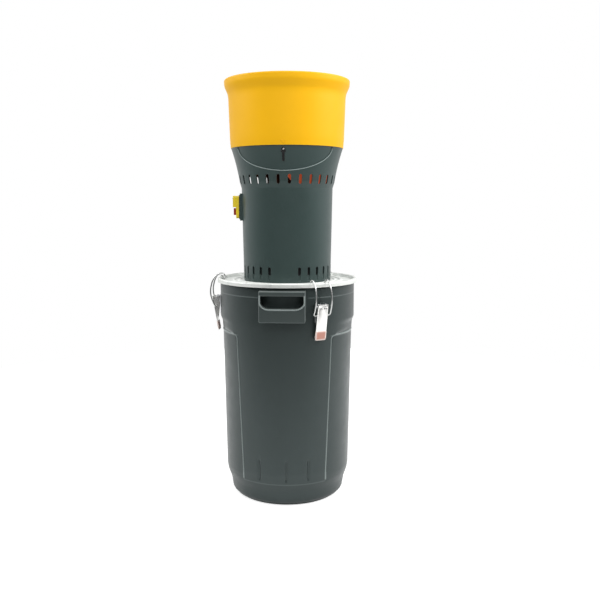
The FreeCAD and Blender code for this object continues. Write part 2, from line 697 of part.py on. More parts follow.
def casing_screws():
    head = cylinder(CASING_SCREW_HEAD, LID_UNDERSIDE - CASING_SCREW_HEAD_HEIGHT, LID_UNDERSIDE, BOSS_CIRCLE)
    shank_top = DECK + CASING_SCREW_LENGTH - RUN_GAP
    screw = head.fuse(cylinder(CASING_SCREW_RADIUS, LID_UNDERSIDE, shank_top, BOSS_CIRCLE))
    return group(around(screw, BOLT_ANGLES))


def cable_gland():
    z = DECK + GLAND_HEIGHT
    face = casing_radius(GLAND_HEIGHT + GLAND_FLANGE) + SEAT_GAP
    inner = CASING_FOOT_RADIUS - CASING_WALL - GLAND_TAIL
    flange = rod_out(GLAND_FLANGE, face, face + GLAND_LENGTH / 2, 0, z)
    collar = rod_out(GLAND_COLLAR, face, face + GLAND_LENGTH, 0, z)
    shank = rod_out(GLAND_SHANK, inner, face, 0, z)
    bore = rod_out(GLAND_BORE, inner, face + GLAND_LENGTH, 0, z)
    return turned(flange.fuse([collar, shank]).cut(bore), 90)


# Hopper
def hopper_wall(inset):
    """Filled form of the hopper above the seam, with its flared lip."""
    foot = HOPPER_FOOT_RADIUS - inset
    neck = foot + HOPPER_TAPER
    lip = neck + LIP_FLARE
    return spun([
        (0, SEAM),
        (foot, SEAM),
        (neck, TOP - LIP_START, LIP_SWEEP),
        (lip, TOP - LIP_EDGE, 2 * LIP_ROUND),
        (lip, TOP - LIP_BEVEL, LIP_ROUND),
        (lip - LIP_BEVEL, TOP, LIP_ROUND / 2),
        (0, TOP),
    ])


def hopper_cavity():
    """Space inside the hopper wall above the funnel."""
    foot = HOPPER_FOOT_RADIUS - HOPPER_WALL
    return spun([
        (0, SEAM + FUNNEL_TOP),
        (ledge_radius(), SEAM + FUNNEL_TOP),
        (foot + HOPPER_TAPER, TOP - LIP_START, LIP_SWEEP),
        (foot + HOPPER_TAPER + LIP_FLARE - LIP_ROUND, TOP + CUT_MARGIN),
        (0, TOP + CUT_MARGIN),
    ])


def ledge_radius():
    """Inside of the hopper wall just above the ledge that carries the funnel."""
    return HOPPER_FOOT_RADIUS - HOPPER_WALL + HOPPER_TAPER * FUNNEL_TOP / (HOPPER_HEIGHT - LIP_START)


def funnel_form(grow):
    """Filled outer form of the funnel: a slanting cone down to the hopper's floor."""
    upper = HOPPER_FOOT_RADIUS - HOPPER_WALL - SEAT_GAP + grow
    lower = FLOOR_RADIUS + HOPPER_WALL + grow
    return cone_between(upper, 0, SEAM + FUNNEL_TOP, lower, SHUTTER_X, HOPPER_FLOOR - HOPPER_WALL)


def hopper_lug():
    """Leg that reaches down inside the casing and takes a hopper screw."""
    half = LUG_WIDTH / 2
    outer = LUG_INNER_RADIUS + LUG_THICKNESS
    leg = block(LUG_INNER_RADIUS, outer, -half, half, SEAM - LUG_LENGTH, SEAM + LUG_LENGTH / 2)
    arm = block(LUG_INNER_RADIUS, HOPPER_FOOT_RADIUS - 1, -half, half, SEAM, SEAM + LUG_LENGTH / 2)
    return leg.fuse(arm)


def hopper():
    skirt_hollow = cylinder(HOPPER_FOOT_RADIUS - HOPPER_WALL, SEAM - CUT_MARGIN, SEAM + FUNNEL_TOP)
    bowl = hopper_wall(0.0).cut([skirt_hollow, hopper_cavity()])
    lugs = [lug.cut(funnel_form(SEAT_GAP)) for lug in around(hopper_lug(), HOPPER_SCREW_ANGLES)]
    groove_radius = HOPPER_FOOT_RADIUS + HOPPER_TAPER * SKIRT_HEIGHT / (HOPPER_HEIGHT - LIP_START)
    groove = Part.makeTorus(groove_radius, SKIRT_GROOVE, Vector(0, 0, SEAM + SKIRT_HEIGHT))
    half = ARROW_WIDTH / 2
    point = SEAM + ARROW_BASE
    arrow = bar([(-half, point + ARROW_HEIGHT), (half, point + ARROW_HEIGHT), (0, point)], -FAR, 0)
    arrow = arrow.common(hopper_wall(-ARROW_RISE)).cut(hopper_wall(HOPPER_WALL / 2))
    screw_z = SEAM - HOPPER_SCREW_DROP
    lug_outer = LUG_INNER_RADIUS + LUG_THICKNESS
    screw_hole = rod_out(HOPPER_SCREW_RADIUS + PIN_FIT, LUG_INNER_RADIUS, lug_outer, 0, screw_z)
    return bowl.cut(groove).fuse([arrow] + lugs).cut(around(screw_hole, HOPPER_SCREW_ANGLES))


def hopper_funnel():
    """Funnel with the hopper's floor: its rim rests on a ledge inside the hopper wall."""
    mouth = HOPPER_FOOT_RADIUS - 2 * HOPPER_WALL
    rim_bottom = SEAM + FUNNEL_TOP
    rim = cylinder(ledge_radius() - SEAT_GAP, rim_bottom, rim_bottom + FUNNEL_RIM)
    inside = cone_between(mouth, 0, rim_bottom, FLOOR_RADIUS, SHUTTER_X, HOPPER_FLOOR)
    inside = inside.fuse(cylinder(mouth, rim_bottom, rim_bottom + FUNNEL_RIM))
    outlet = cylinder(FEED_BORE, HOPPER_FLOOR - HOPPER_WALL, HOPPER_FLOOR, FEED_X)
    pin_hole = cylinder(SHUTTER_PIN_RADIUS + PIN_FIT, HOPPER_FLOOR - HOPPER_WALL, HOPPER_FLOOR, SHUTTER_X)
    return funnel_form(0.0).fuse(rim).cut([inside, outlet, pin_hole])


def hopper_screws():
    z = SEAM - HOPPER_SCREW_DROP
    seat = CASING_TOP_RADIUS - HOPPER_SCREW_SEAT
    head = rod_out(HOPPER_SCREW_HEAD, seat, seat + HOPPER_SCREW_HEAD_HEIGHT, 0, z)
    screw = head.fuse(rod_out(HOPPER_SCREW_RADIUS, LUG_INNER_RADIUS, seat, 0, z))
    return group(around(screw, HOPPER_SCREW_ANGLES))


# Feed
def knob_x():
    return FEED_X + SHUTTER_COVER - KNOB_RADIUS - SHUTTER_EDGE_GAP


def feed_shutter():
    bottom = HOPPER_FLOOR + SHUTTER_LIFT
    top = bottom + SHUTTER_THICKNESS
    plate = cylinder(SHUTTER_HUB, bottom, top, SHUTTER_X)
    arm = block(SHUTTER_X, FEED_X, -SHUTTER_HUB, SHUTTER_HUB, bottom, top)
    plate = plate.fuse([arm, cylinder(SHUTTER_COVER, bottom, top, FEED_X)])
    pivot_hole = cylinder(SHUTTER_PIN_RADIUS + PIN_FIT, bottom, top, SHUTTER_X)
    return plate.cut([pivot_hole, cylinder(KNOB_STUD_RADIUS + SHAFT_FIT, bottom, top, knob_x())])


def shutter_knob():
    base = HOPPER_FLOOR + SHUTTER_LIFT + SHUTTER_THICKNESS
    half = KNOB_RADIUS
    grip = cylinder(half, base, base + KNOB_HEIGHT, knob_x())
    crown = [edge for edge in grip.Edges if edge.BoundBox.ZMin > base + KNOB_HEIGHT - 0.1]
    grip = grip.makeFillet(half / 3, crown)
    return grip.fuse(cylinder(KNOB_STUD_RADIUS, base - SHUTTER_THICKNESS, base, knob_x()))


def shutter_pin():
    head_bottom = HOPPER_FLOOR + 2 * SHUTTER_LIFT + SHUTTER_THICKNESS
    floor_bottom = HOPPER_FLOOR - HOPPER_WALL
    head = cylinder(SHUTTER_PIN_HEAD, head_bottom, head_bottom + SHUTTER_PIN_HEAD_HEIGHT, SHUTTER_X)
    shank = cylinder(SHUTTER_PIN_RADIUS, floor_bottom, head_bottom, SHUTTER_X)
    tail = cylinder(SHUTTER_PIN_TAIL, floor_bottom - SHUTTER_PIN_TAIL_HEIGHT, floor_bottom, SHUTTER_X)
    return head.fuse([shank, tail])


def feed_cup():
    top = HOPPER_FLOOR - HOPPER_WALL
    neck = DECK + FEED_NECK_HEIGHT
    outer = cone_between(FLOOR_RADIUS, SHUTTER_X, top, FEED_TUBE_RADIUS, FEED_X, neck)
    inner = cone_between(FLOOR_RADIUS - FEED_TUBE_WALL, SHUTTER_X, top, FEED_BORE, FEED_X, neck)
    pipe = cylinder(FEED_TUBE_RADIUS, DECK, neck, FEED_X)
    return outer.fuse(pipe).cut([inner, cylinder(FEED_BORE, DECK, neck, FEED_X)])


# Motor
def posts(bottom, top):
    half = POST_WIDTH / 2
    post = block(POST_INNER_RADIUS, MOTOR_RADIUS, -half, half, bottom, top)
    post = post.common(cylinder(MOTOR_RADIUS, bottom, top))
    return around(post, BOLT_ANGLES)


def bolt_holes(bottom, top):
    return around(cylinder(BOLT_RADIUS + PIN_FIT, bottom, top, BOLT_CIRCLE), BOLT_ANGLES)


def bracket(base, post_bottom, post_top, bearing):
    """Plate with four posts and a hub that holds a bearing."""
    hub_top = bearing + BEARING_HEIGHT + BRACKET_LIP
    plate = cylinder(MOTOR_RADIUS, base, base + BRACKET_PLATE)
    hub = cylinder(BRACKET_HUB, base, hub_top)
    seat = cylinder(BEARING_RADIUS + SHAFT_FIT, bearing, hub_top)
    bore = cylinder(SPACER_HOLE, base, hub_top)
    body = plate.fuse([hub] + posts(post_bottom, post_top))
    low = min(base, post_bottom)
    high = max(base + BRACKET_PLATE, post_top)
    return body.cut([seat, bore] + bolt_holes(low, high))


def lower_bracket():
    return bracket(DECK, DECK, STATOR_BASE, LOWER_BEARING)


def upper_bracket():
    return bracket(UPPER_PLATE, STATOR_TOP, UPPER_PLATE, UPPER_BEARING)


def bearing(bottom):
    """Ball bearing as one ring with its grooved side."""
    top = bottom + BEARING_HEIGHT
    race = (BEARING_RADIUS - SHAFT_RADIUS) / 3
    body = tube(BEARING_RADIUS, SHAFT_RADIUS + PIN_FIT, bottom, top)
    groove = tube(BEARING_RADIUS - race, SHAFT_RADIUS + race, top - BEARING_GROOVE, top)
    return body.cut(groove)


def motor_shaft():
    end = NUT_TOP - BLADE_NUT_HEIGHT - SHAFT_TAIL
    return cylinder(SHAFT_RADIUS, end, DECK + SHAFT_TOP)


def stator_core():
    core = tube(MOTOR_RADIUS, ARMATURE_RADIUS + AIR_GAP, STATOR_BASE, STATOR_TOP)
    windows = []
    for side in (1, -1):
        near = side * WINDOW_BOTTOM
        far = side * (WINDOW_BOTTOM + WINDOW_DEPTH)
        for start in (WINDOW_INNER, -WINDOW_INNER - WINDOW_WIDTH):
            y0, y1 = sorted((near, far))
            windows.append(block(start, start + WINDOW_WIDTH, y0, y1, STATOR_BASE, STATOR_TOP))
    return core.cut(windows + bolt_holes(STATOR_BASE, STATOR_TOP))


def field_coils():
    """Two coils, each a rounded frame round one pole."""
    inner = WINDOW_INNER + COIL_GAP
    outer = WINDOW_INNER + WINDOW_WIDTH - COIL_GAP
    low = STATOR_BASE - COIL_GAP
    high = STATOR_TOP + COIL_GAP
    y0 = WINDOW_BOTTOM + COIL_GAP
    y1 = WINDOW_BOTTOM + WINDOW_DEPTH - COIL_GAP
    round_out = COIL_END
    rim = [(-outer, low - COIL_END, round_out), (outer, low - COIL_END, round_out)]
    rim += [(outer, high + COIL_END, round_out), (-outer, high + COIL_END, round_out)]
    hole = [(-inner, low), (inner, low), (inner, high), (-inner, high)]
    coil = bar(rim, y0, y1).cut(bar(hole, y0, y1))
    return group([coil, turned(coil, 180)])


def armature_slots(width, inner, outer, bottom, top):
    slot = block(inner, outer, -width / 2, width / 2, bottom, top)
    return around(slot, even_angles(SLOT_COUNT))


def armature_core():
    core = tube(ARMATURE_RADIUS, SHAFT_RADIUS + SHAFT_FIT, STATOR_BASE, STATOR_TOP)
    return core.cut(armature_slots(SLOT_WIDTH, SLOT_INNER_RADIUS, MOTOR_RADIUS, STATOR_BASE, STATOR_TOP))


def armature_winding():
    width = SLOT_WIDTH - 2 * COIL_GAP
    inner = SLOT_INNER_RADIUS + COIL_GAP
    low = STATOR_BASE - COIL_GAP - WINDING_LAP
    high = STATOR_TOP + COIL_GAP + WINDING_LAP
    bars = armature_slots(width, inner, WINDING_RADIUS - WINDING_LAP, low, high)
    upper = tube(WINDING_RADIUS, WINDING_INNER_RADIUS, STATOR_TOP + COIL_GAP, STATOR_TOP + WINDING_END)
    lower = tube(WINDING_RADIUS, WINDING_INNER_RADIUS, STATOR_BASE - WINDING_END, STATOR_BASE - COIL_GAP)
    return upper.fuse([lower] + bars)


def commutator():
    bottom = DECK + COMMUTATOR_BOTTOM
    top = bottom + COMMUTATOR_HEIGHT
    drum = tube(COMMUTATOR_RADIUS, SHAFT_RADIUS + SHAFT_FIT, bottom, top)
    half = COMMUTATOR_GAP / 2
    gap = block(COMMUTATOR_RADIUS - COMMUTATOR_GAP_DEPTH, MOTOR_RADIUS, -half, half, bottom, top)
    return drum.cut(around(gap, even_angles(COMMUTATOR_BARS)))


def brush_level():
    return DECK + COMMUTATOR_BOTTOM + COMMUTATOR_HEIGHT / 2


def brush_holders():
    half = BRUSH_WIDTH / 2 + PIN_FIT
    inner = COMMUTATOR_RADIUS + HOLDER_SETBACK
    outer = COMMUTATOR_RADIUS + BRUSH_GAP + BRUSH_LENGTH + HOLDER_SPRING_ROOM + HOLDER_WALL
    z = brush_level()
    side = half + HOLDER_WALL
    body = block(inner, outer, -side, side, z - side, UPPER_PLATE)
    body = body.cut(block(inner, outer - HOLDER_WALL, -half, half, z - half, z + half))
    return group(around(body, (90, -90)))


def carbon_brushes():
    half = BRUSH_WIDTH / 2
    inner = COMMUTATOR_RADIUS + BRUSH_GAP
    z = brush_level()
    brush = block(inner, inner + BRUSH_LENGTH, -half, half, z - half, z + half)
    return group(around(brush, (90, -90)))


def motor_bolts():
    head = cylinder(BOLT_HEAD, LID_UNDERSIDE - BOLT_HEAD_HEIGHT, LID_UNDERSIDE, BOLT_CIRCLE)
    end = UPPER_PLATE + BRACKET_PLATE + NUT_HEIGHT + BOLT_END
    return group(around(head.fuse(cylinder(BOLT_RADIUS, LID_UNDERSIDE, end, BOLT_CIRCLE)), BOLT_ANGLES))


def hexagon(flats, bottom, top, x=0.0):
    corner = flats / sqrt(3)
    points = [Vector(x + corner * cos(radians(a)), corner * sin(radians(a)), bottom) for a in even_angles(6)]
    return Part.Face(Part.makePolygon(points + points[:1])).extrude(Vector(0, 0, top - bottom))


def motor_nuts():
    base = UPPER_PLATE + BRACKET_PLATE
    nut = hexagon(2 * BOLT_HEAD - 1, base, base + NUT_HEIGHT, BOLT_CIRCLE)
    nut = nut.cut(cylinder(BOLT_RADIUS + SHAFT_FIT, base, base + NUT_HEIGHT, BOLT_CIRCLE))
    return group(around(nut, BOLT_ANGLES))


def cooling_fan():
    bottom = DECK + FAN_BOTTOM
    top = bottom + FAN_HEIGHT
    half = FAN_BLADE_THICKNESS / 2
    body = cylinder(FAN_RADIUS, top - FAN_PLATE, top)
    blade = block(FAN_HUB - 1, FAN_RADIUS - 1, -half, half, bottom, top - FAN_PLATE)
    body = body.fuse([cylinder(FAN_HUB, bottom, top)] + around(blade, even_angles(FAN_BLADES)))
    return body.cut(cylinder(SHAFT_RADIUS + SHAFT_FIT, bottom, top))


# Mill under the lid
def screen_ring():
    ring = tube(SCREEN_RADIUS, SCREEN_RADIUS - SCREEN_SHEET, SCREEN_BOTTOM, LID_UNDERSIDE)
    pitch = SCREEN_HEIGHT / (SCREEN_HOLE_ROWS + 1)
    inner = SCREEN_RADIUS - 2 * SCREEN_SHEET
    outer = SCREEN_RADIUS + SCREEN_SHEET
    holes = []
    for row in range(SCREEN_HOLE_ROWS):
        hole = rod_out(SCREEN_HOLE_RADIUS, inner, outer, 0, SCREEN_BOTTOM + pitch * (row + 1))
        first = 180.0 / SCREEN_HOLES_AROUND * (row % 2)
        holes += around(hole, even_angles(SCREEN_HOLES_AROUND, first))
    return ring.cut(holes)


def screen_cover():
    plate = cylinder(STUD_CIRCLE + COVER_EDGE, SCREEN_BOTTOM - COVER_THICKNESS, SCREEN_BOTTOM)
    hole = cylinder(STUD_RADIUS + PIN_FIT, SCREEN_BOTTOM - COVER_THICKNESS, SCREEN_BOTTOM, STUD_CIRCLE)
    return plate.cut(around(hole, STUD_ANGLES))


def screen_studs():
    bottom = SCREEN_BOTTOM - COVER_THICKNESS - STUD_TAIL
    return group(around(cylinder(STUD_RADIUS, bottom, LID_UNDERSIDE, STUD_CIRCLE), STUD_ANGLES))


def wing_nuts():
    top = SCREEN_BOTTOM - COVER_THICKNESS
    bottom = top - WING_NUT_HEIGHT
    half = WING_THICKNESS / 2
    wings = bar([
        (STUD_CIRCLE - WING_SPAN, bottom - WING_DROP, WING_CORNER),
        (STUD_CIRCLE, top - WING_ROOT),
        (STUD_CIRCLE + WING_SPAN, bottom - WING_DROP, WING_CORNER),
        (STUD_CIRCLE + WING_SPAN, bottom + WING_ROOT, WING_CORNER),
        (STUD_CIRCLE, top),
        (STUD_CIRCLE - WING_SPAN, bottom + WING_ROOT, WING_CORNER),
    ], -half, half)
    nut = cylinder(WING_NUT_RADIUS, bottom, top, STUD_CIRCLE).fuse(wings)
    nut = nut.cut(cylinder(STUD_RADIUS + SHAFT_FIT, bottom - WING_DROP, top, STUD_CIRCLE))
    nut.rotate(Vector(STUD_CIRCLE, 0, 0), Vector(0, 0, 1), 90)
    return group(around(nut, STUD_ANGLES))


def blade_spacer():
    return tube(SPACER_RADIUS, SHAFT_RADIUS + SHAFT_FIT, BLADE_TOP, LOWER_BEARING - RUN_GAP)


def beater_blade():
    bottom = BLADE_TOP - BLADE_THICKNESS
    half = BLADE_WIDTH / 2
    tip = BLADE_TIP_WIDTH / 2
    points = [(-BLADE_REACH, -tip), (0, -half), (BLADE_REACH, -tip)]
    points += [(BLADE_REACH, tip), (0, half), (-BLADE_REACH, tip)]
    corners = [Vector(x, y, bottom) for x, y in points]
    plate = Part.Face(Part.makePolygon(corners + corners[:1])).extrude(Vector(0, 0, BLADE_THICKNESS))
    return plate.cut(cylinder(SHAFT_RADIUS + SHAFT_FIT, bottom, BLADE_TOP))


def blade_washer():
    return tube(WASHER_RADIUS, SHAFT_RADIUS + SHAFT_FIT, NUT_TOP, NUT_TOP + WASHER_THICKNESS)


def blade_nut():
    nut = hexagon(BLADE_NUT_FLATS, NUT_TOP - BLADE_NUT_HEIGHT, NUT_TOP)
    return nut.cut(cylinder(SHAFT_RADIUS + SHAFT_FIT, NUT_TOP - BLADE_NUT_HEIGHT, NUT_TOP))


# Starter switch, on the -X side
def switch_screw_rods(radius):
    """Four rods at the screw places, from the casing out past the bezel."""
    y = SWITCH_WIDTH / 2 - BEZEL_MARGIN - SWITCH_SCREW_INSET
    inner = SWITCH_PAD_REACH - SWITCH_SCREW_BITE
    rods = []
    for z in switch_screw_levels():
        for side in (y, -y):
            rods.append(turned(rod_out(radius, inner, BEZEL_FACE + CUT_MARGIN, side, z), 180))
    return rods


def switch_screw_levels():
    inset = BEZEL_MARGIN + SWITCH_SCREW_INSET
    return (SWITCH_BASE + inset, SWITCH_TOP - inset)


def switch_opening():
    """Way through the casing and gasket for the switch body and the buttons' backs."""
    half = SWITCH_BODY_WIDTH / 2 + SEAT_GAP
    low = SWITCH_BASE + SWITCH_BODY_MARGIN - SEAT_GAP
    high = SWITCH_TOP - SWITCH_BODY_MARGIN + SEAT_GAP
    return block(-GASKET_FACE, -CASING_FOOT_RADIUS / 2, -half, half, low, high)


def switch_gasket():
    half = SWITCH_WIDTH / 2
    plate = block(-GASKET_FACE, -SWITCH_PAD_REACH, -half, half, SWITCH_BASE, SWITCH_TOP)
    upright = [edge for edge in plate.Edges if edge.BoundBox.XLength > GASKET_THICKNESS / 2]
    plate = plate.makeFillet(GASKET_CORNER, upright)
    return plate.cut([switch_opening()] + switch_screw_rods(SWITCH_SCREW_RADIUS + PIN_FIT))


def button_tool(bottom, grow, back, face):
    half = BUTTON_WIDTH / 2 + grow
    low = SWITCH_BASE + bottom - grow
    high = SWITCH_BASE + bottom + BUTTON_HEIGHT + grow
    return block(-face, -back, -half, half, low, high)


def switch_bezel():
    half = SWITCH_WIDTH / 2 - BEZEL_MARGIN
    low = SWITCH_BASE + BEZEL_MARGIN
    high = SWITCH_TOP - BEZEL_MARGIN
    frame = block(-BEZEL_FACE, -GASKET_FACE, -half, half, low, high)
    upright = [edge for edge in frame.Edges if edge.BoundBox.XLength > BEZEL_DEPTH / 2]
    frame = frame.makeFillet(BEZEL_CORNER, upright)
    step = block(-FAR, -BEZEL_FACE + BEZEL_STEP, -FAR, FAR, 0, SWITCH_BASE + BEZEL_STEP_HEIGHT)
    ways = [button_tool(b, BUTTON_GAP, GASKET_FACE, FAR) for b in (START_BUTTON_BOTTOM, STOP_BUTTON_BOTTOM)]
    heads = []
    for rod, seat in zip(switch_screw_rods(SWITCH_SCREW_HEAD + PIN_FIT), screw_seats()):
        heads.append(rod.common(block(-FAR, -seat, -FAR, FAR, 0, TOP)))
    return frame.cut([step] + ways + heads + switch_screw_rods(SWITCH_SCREW_RADIUS + PIN_FIT))


def screw_seats():
    """How far out each screw head sits: two on the lower step, two on the upper face."""
    upper = BEZEL_FACE - SWITCH_SCREW_HEAD_HEIGHT
    return (upper - BEZEL_STEP, upper - BEZEL_STEP, upper, upper)


def switch_screws():
    solids = []
    shanks = switch_screw_rods(SWITCH_SCREW_RADIUS)
    heads = switch_screw_rods(SWITCH_SCREW_HEAD)
    for shank, head, seat in zip(shanks, heads, screw_seats()):
        end = seat + SWITCH_SCREW_HEAD_HEIGHT
        shank = shank.common(block(-seat, 0, -FAR, FAR, 0, TOP))
        head = head.common(block(-end, -seat, -FAR, FAR, 0, TOP))
        solids.append(shank.fuse(head))
    return group(solids)


def start_button():
    return button_tool(START_BUTTON_BOTTOM, 0.0, BUTTON_BACK, BEZEL_FACE - RUN_GAP)


def stop_button():
    return button_tool(STOP_BUTTON_BOTTOM, 0.0, BUTTON_BACK, BEZEL_FACE - BEZEL_STEP + STOP_BUTTON_PROUD)


def switch_body():
    half = SWITCH_BODY_WIDTH / 2
    back = SWITCH_BODY_FACE - SWITCH_BODY_DEPTH
    low = SWITCH_BASE + SWITCH_BODY_MARGIN
    return block(-SWITCH_BODY_FACE, -back, -half, half, low, SWITCH_TOP - SWITCH_BODY_MARGIN)


# Toggle clasps, built at +X and turned to their places
def clasp_plate():
    inner = BUCKET_RADIUS + SEAT_GAP
    outer = inner + CLASP_PLATE_THICKNESS
    low = PIVOT[1] - CLASP_PLATE_BELOW
    high = PIVOT[1] + CLASP_PLATE_ABOVE
    half = LEVER_WIDTH / 2 - LEVER_SHEET - RUN_GAP
    plate = tube(outer, inner, low, high).common(block(0, FAR, -half, half, low, high))
    ears = []
    for y in (half - EAR_THICKNESS, -half):
        eye = Part.makeCylinder(EAR_RADIUS, EAR_THICKNESS, Vector(PIVOT[0], y, PIVOT[1]), Vector(0, 1, 0))
        web = block(inner, PIVOT[0], y, y + EAR_THICKNESS, PIVOT[1] - EAR_RADIUS, PIVOT[1] + EAR_RADIUS)
        ears.append(eye.fuse(web).cut(cylinder(inner, low, high)))
    holes = [rod_across(PIVOT_RADIUS + SHAFT_FIT, FAR, PIVOT[0], PIVOT[1])] + rivet_holes()
    return plate.fuse(ears).cut(holes)


def clasp_pin():
    length = LEVER_WIDTH / 2 + RUN_GAP
    shank = rod_across(PIVOT_RADIUS, length, PIVOT[0], PIVOT[1])
    head = rod_across(PIVOT_HEAD, length + PIVOT_HEAD_HEIGHT, PIVOT[0], PIVOT[1])
    head = head.cut(rod_across(2 * PIVOT_HEAD, length, PIVOT[0], PIVOT[1]))
    return shank.fuse(head)


def rivet_holes():
    """Radial holes through the clasp plate and the bucket wall."""
    inner = BUCKET_RADIUS - 3 * BUCKET_WALL
    return [rod_out(RIVET_RADIUS + PIN_FIT, inner, PIVOT[0], 0, PIVOT[1] - drop) for drop in RIVET_DROPS]


def clasp_rivets():
    solids = []
    inner = BUCKET_RADIUS - BUCKET_WALL
    outer = BUCKET_RADIUS + SEAT_GAP + CLASP_PLATE_THICKNESS
    for drop in RIVET_DROPS:
        z = PIVOT[1] - drop
        tail = rod_out(RIVET_HEAD, inner - RIVET_HEAD_HEIGHT - SEAT_GAP, inner - SEAT_GAP, 0, z)
        head = rod_out(RIVET_HEAD, outer, outer + RIVET_HEAD_HEIGHT, 0, z)
        solids.append(rod_out(RIVET_RADIUS, inner - SEAT_GAP, outer, 0, z).fuse([tail, head]))
    return solids


def lever_face_radius(z):
    """Outer face of a closed lever at a height."""
    tip = PIVOT[1] - LEVER_BELOW
    rise = (z - tip) / (LEVER_ABOVE + LEVER_BELOW)
    return PIVOT[0] + LEVER_TIP_REACH + rise * (LEVER_TOP_REACH - LEVER_TIP_REACH)


def lever_strip(outer, inner, low, high):
    """Side outline of a strip that follows the lever's face."""
    return [
        (lever_face_radius(high) + outer, high),
        (lever_face_radius(low) + outer, low),
        (lever_face_radius(low) - inner, low),
        (lever_face_radius(high) - inner, high),
    ]


def clasp_lever():
    tip = PIVOT[1] - LEVER_BELOW
    top = PIVOT[1] + LEVER_ABOVE
    half = LEVER_WIDTH / 2
    cheek_end = top - CHEEK_LENGTH
    above = top + CUT_MARGIN
    below = tip - CUT_MARGIN
    body = bar([
        (lever_face_radius(top), top),
        (lever_face_radius(tip), tip),
        (lever_face_radius(tip) - LEVER_SHEET, tip),
        (lever_face_radius(cheek_end) - LEVER_SHEET, cheek_end, CHEEK_SWEEP),
        (PIVOT[0] - CHEEK_BACK, PIVOT[1] - CHEEK_BACK_DROP, CHEEK_ROUND),
        (PIVOT[0] - CHEEK_BACK_TOP, top, CHEEK_ROUND / 2),
    ], -half, half)
    inside = bar([
        (lever_face_radius(above) - LEVER_SHEET, above),
        (lever_face_radius(below) - LEVER_SHEET, below),
        (BUCKET_RADIUS, below),
        (BUCKET_RADIUS, above),
    ], -half + LEVER_SHEET, half - LEVER_SHEET)
    pivot_hole = rod_across(PIVOT_RADIUS + PIN_FIT, LEVER_WIDTH, PIVOT[0], PIVOT[1])
    bail_hole = rod_across(WIRE_RADIUS + PIN_FIT, LEVER_WIDTH, BAIL_PIVOT[0], BAIL_PIVOT[1])
    return body.cut([inside, pivot_hole, bail_hole])


def lever_sleeve():
    tip = PIVOT[1] - LEVER_BELOW
    top = tip + SLEEVE_LENGTH
    half = LEVER_WIDTH / 2
    grow = SLEEVE_WALL + PIN_FIT
    cover = bar(lever_strip(grow, LEVER_SHEET + grow, tip - grow, top), -half - grow, half + grow)
    slot = lever_strip(PIN_FIT, LEVER_SHEET + PIN_FIT, tip - PIN_FIT, top + CUT_MARGIN)
    return cover.cut(bar(slot, -half - PIN_FIT, half + PIN_FIT))


def clasp_bail():
    """Bent wire: two legs hooked into the lever, joined by a crossbar inside the lid's rim."""
    hook = BUCKET_RADIUS - BAIL_HOOK_INSET
    half = BAIL_HALF_WIDTH
    top_half = BAIL_TOP_HALF_WIDTH
    leg = [
        (Vector(BAIL_PIVOT[0], BAIL_TAIL, BAIL_PIVOT[1]), 0.0),
        (Vector(BAIL_PIVOT[0], half, BAIL_PIVOT[1]), WIRE_BEND),
        (Vector(BUCKET_RADIUS + BAIL_BOW, half, BUCKET_HEIGHT - BAIL_BOW_DROP), BAIL_BOW_BEND),
        (Vector(BUCKET_RADIUS + BAIL_OVER_REACH, top_half, DECK + BAIL_OVER_RISE), BAIL_OVER_BEND),
        (Vector(hook, top_half, DECK + BAIL_HOOK_RISE), WIRE_BEND),
        (Vector(hook, top_half, DECK + BAIL_CROSSBAR_RISE), WIRE_BEND),
    ]
    mirrored = [(Vector(p.x, -p.y, p.z), radius) for p, radius in reversed(leg)]
    path = rounded_edges(leg + mirrored, False)
    section = Part.Wire(Part.Circle(leg[0][0], Vector(0, 1, 0), WIRE_RADIUS).toShape())
    return path.makePipeShell([section], True, False)


# All pieces, one file each
pieces = {
    "bucket": bucket(),
    "lid": lid(),
    "lid_seal": lid_seal(),
    "motor_casing": motor_casing(),
    "casing_screws": casing_screws(),
    "cable_gland": cable_gland(),
    "hopper": hopper(),
    "hopper_funnel": hopper_funnel(),
    "hopper_screws": hopper_screws(),
    "feed_shutter": feed_shutter(),
    "shutter_knob": shutter_knob(),
    "shutter_pin": shutter_pin(),
    "feed_cup": feed_cup(),
    "motor_shaft": motor_shaft(),
    "upper_bearing": bearing(UPPER_BEARING),
    "lower_bearing": bearing(LOWER_BEARING),
    "upper_bracket": upper_bracket(),
    "lower_bracket": lower_bracket(),
    "stator_core": stator_core(),
    "field_coils": field_coils(),
    "armature_core": armature_core(),
    "armature_winding": armature_winding(),
    "commutator": commutator(),
    "brush_holders": brush_holders(),
    "carbon_brushes": carbon_brushes(),
    "motor_bolts": motor_bolts(),
    "motor_nuts": motor_nuts(),
    "cooling_fan": cooling_fan(),
    "screen_ring": screen_ring(),
    "screen_cover": screen_cover(),
    "screen_studs": screen_studs(),
    "wing_nuts": wing_nuts(),
    "blade_spacer": blade_spacer(),
    "beater_blade": beater_blade(),
    "blade_washer": blade_washer(),
    "blade_nut": blade_nut(),
    "switch_body": switch_body(),
    "switch_gasket": switch_gasket(),
    "switch_bezel": switch_bezel(),
    "switch_screws": switch_screws(),
    "start_button": start_button(),
    "stop_button": stop_button(),
    "clasp_plates": group(around(clasp_plate(), CLASP_ANGLES.values())),
    "clasp_pins": group(around(clasp_pin(), CLASP_ANGLES.values())),
    "clasp_rivets": group([turned(r, a) for a in CLASP_ANGLES.values() for r in clasp_rivets()]),
}
for place, angle in CLASP_ANGLES.items():
    pieces["lever_" + place] = turned(clasp_lever(), angle)
    pieces["lever_tip_" + place] = turned(lever_sleeve(), angle)
    pieces["bail_" + place] = turned(clasp_bail(), angle)

for name, shape in pieces.items():
    shape.exportStep("parts/" + name + ".step")
    print(name, len(shape.Solids), shape.isValid(), round(shape.Volume / 1000, 2), "cm3")
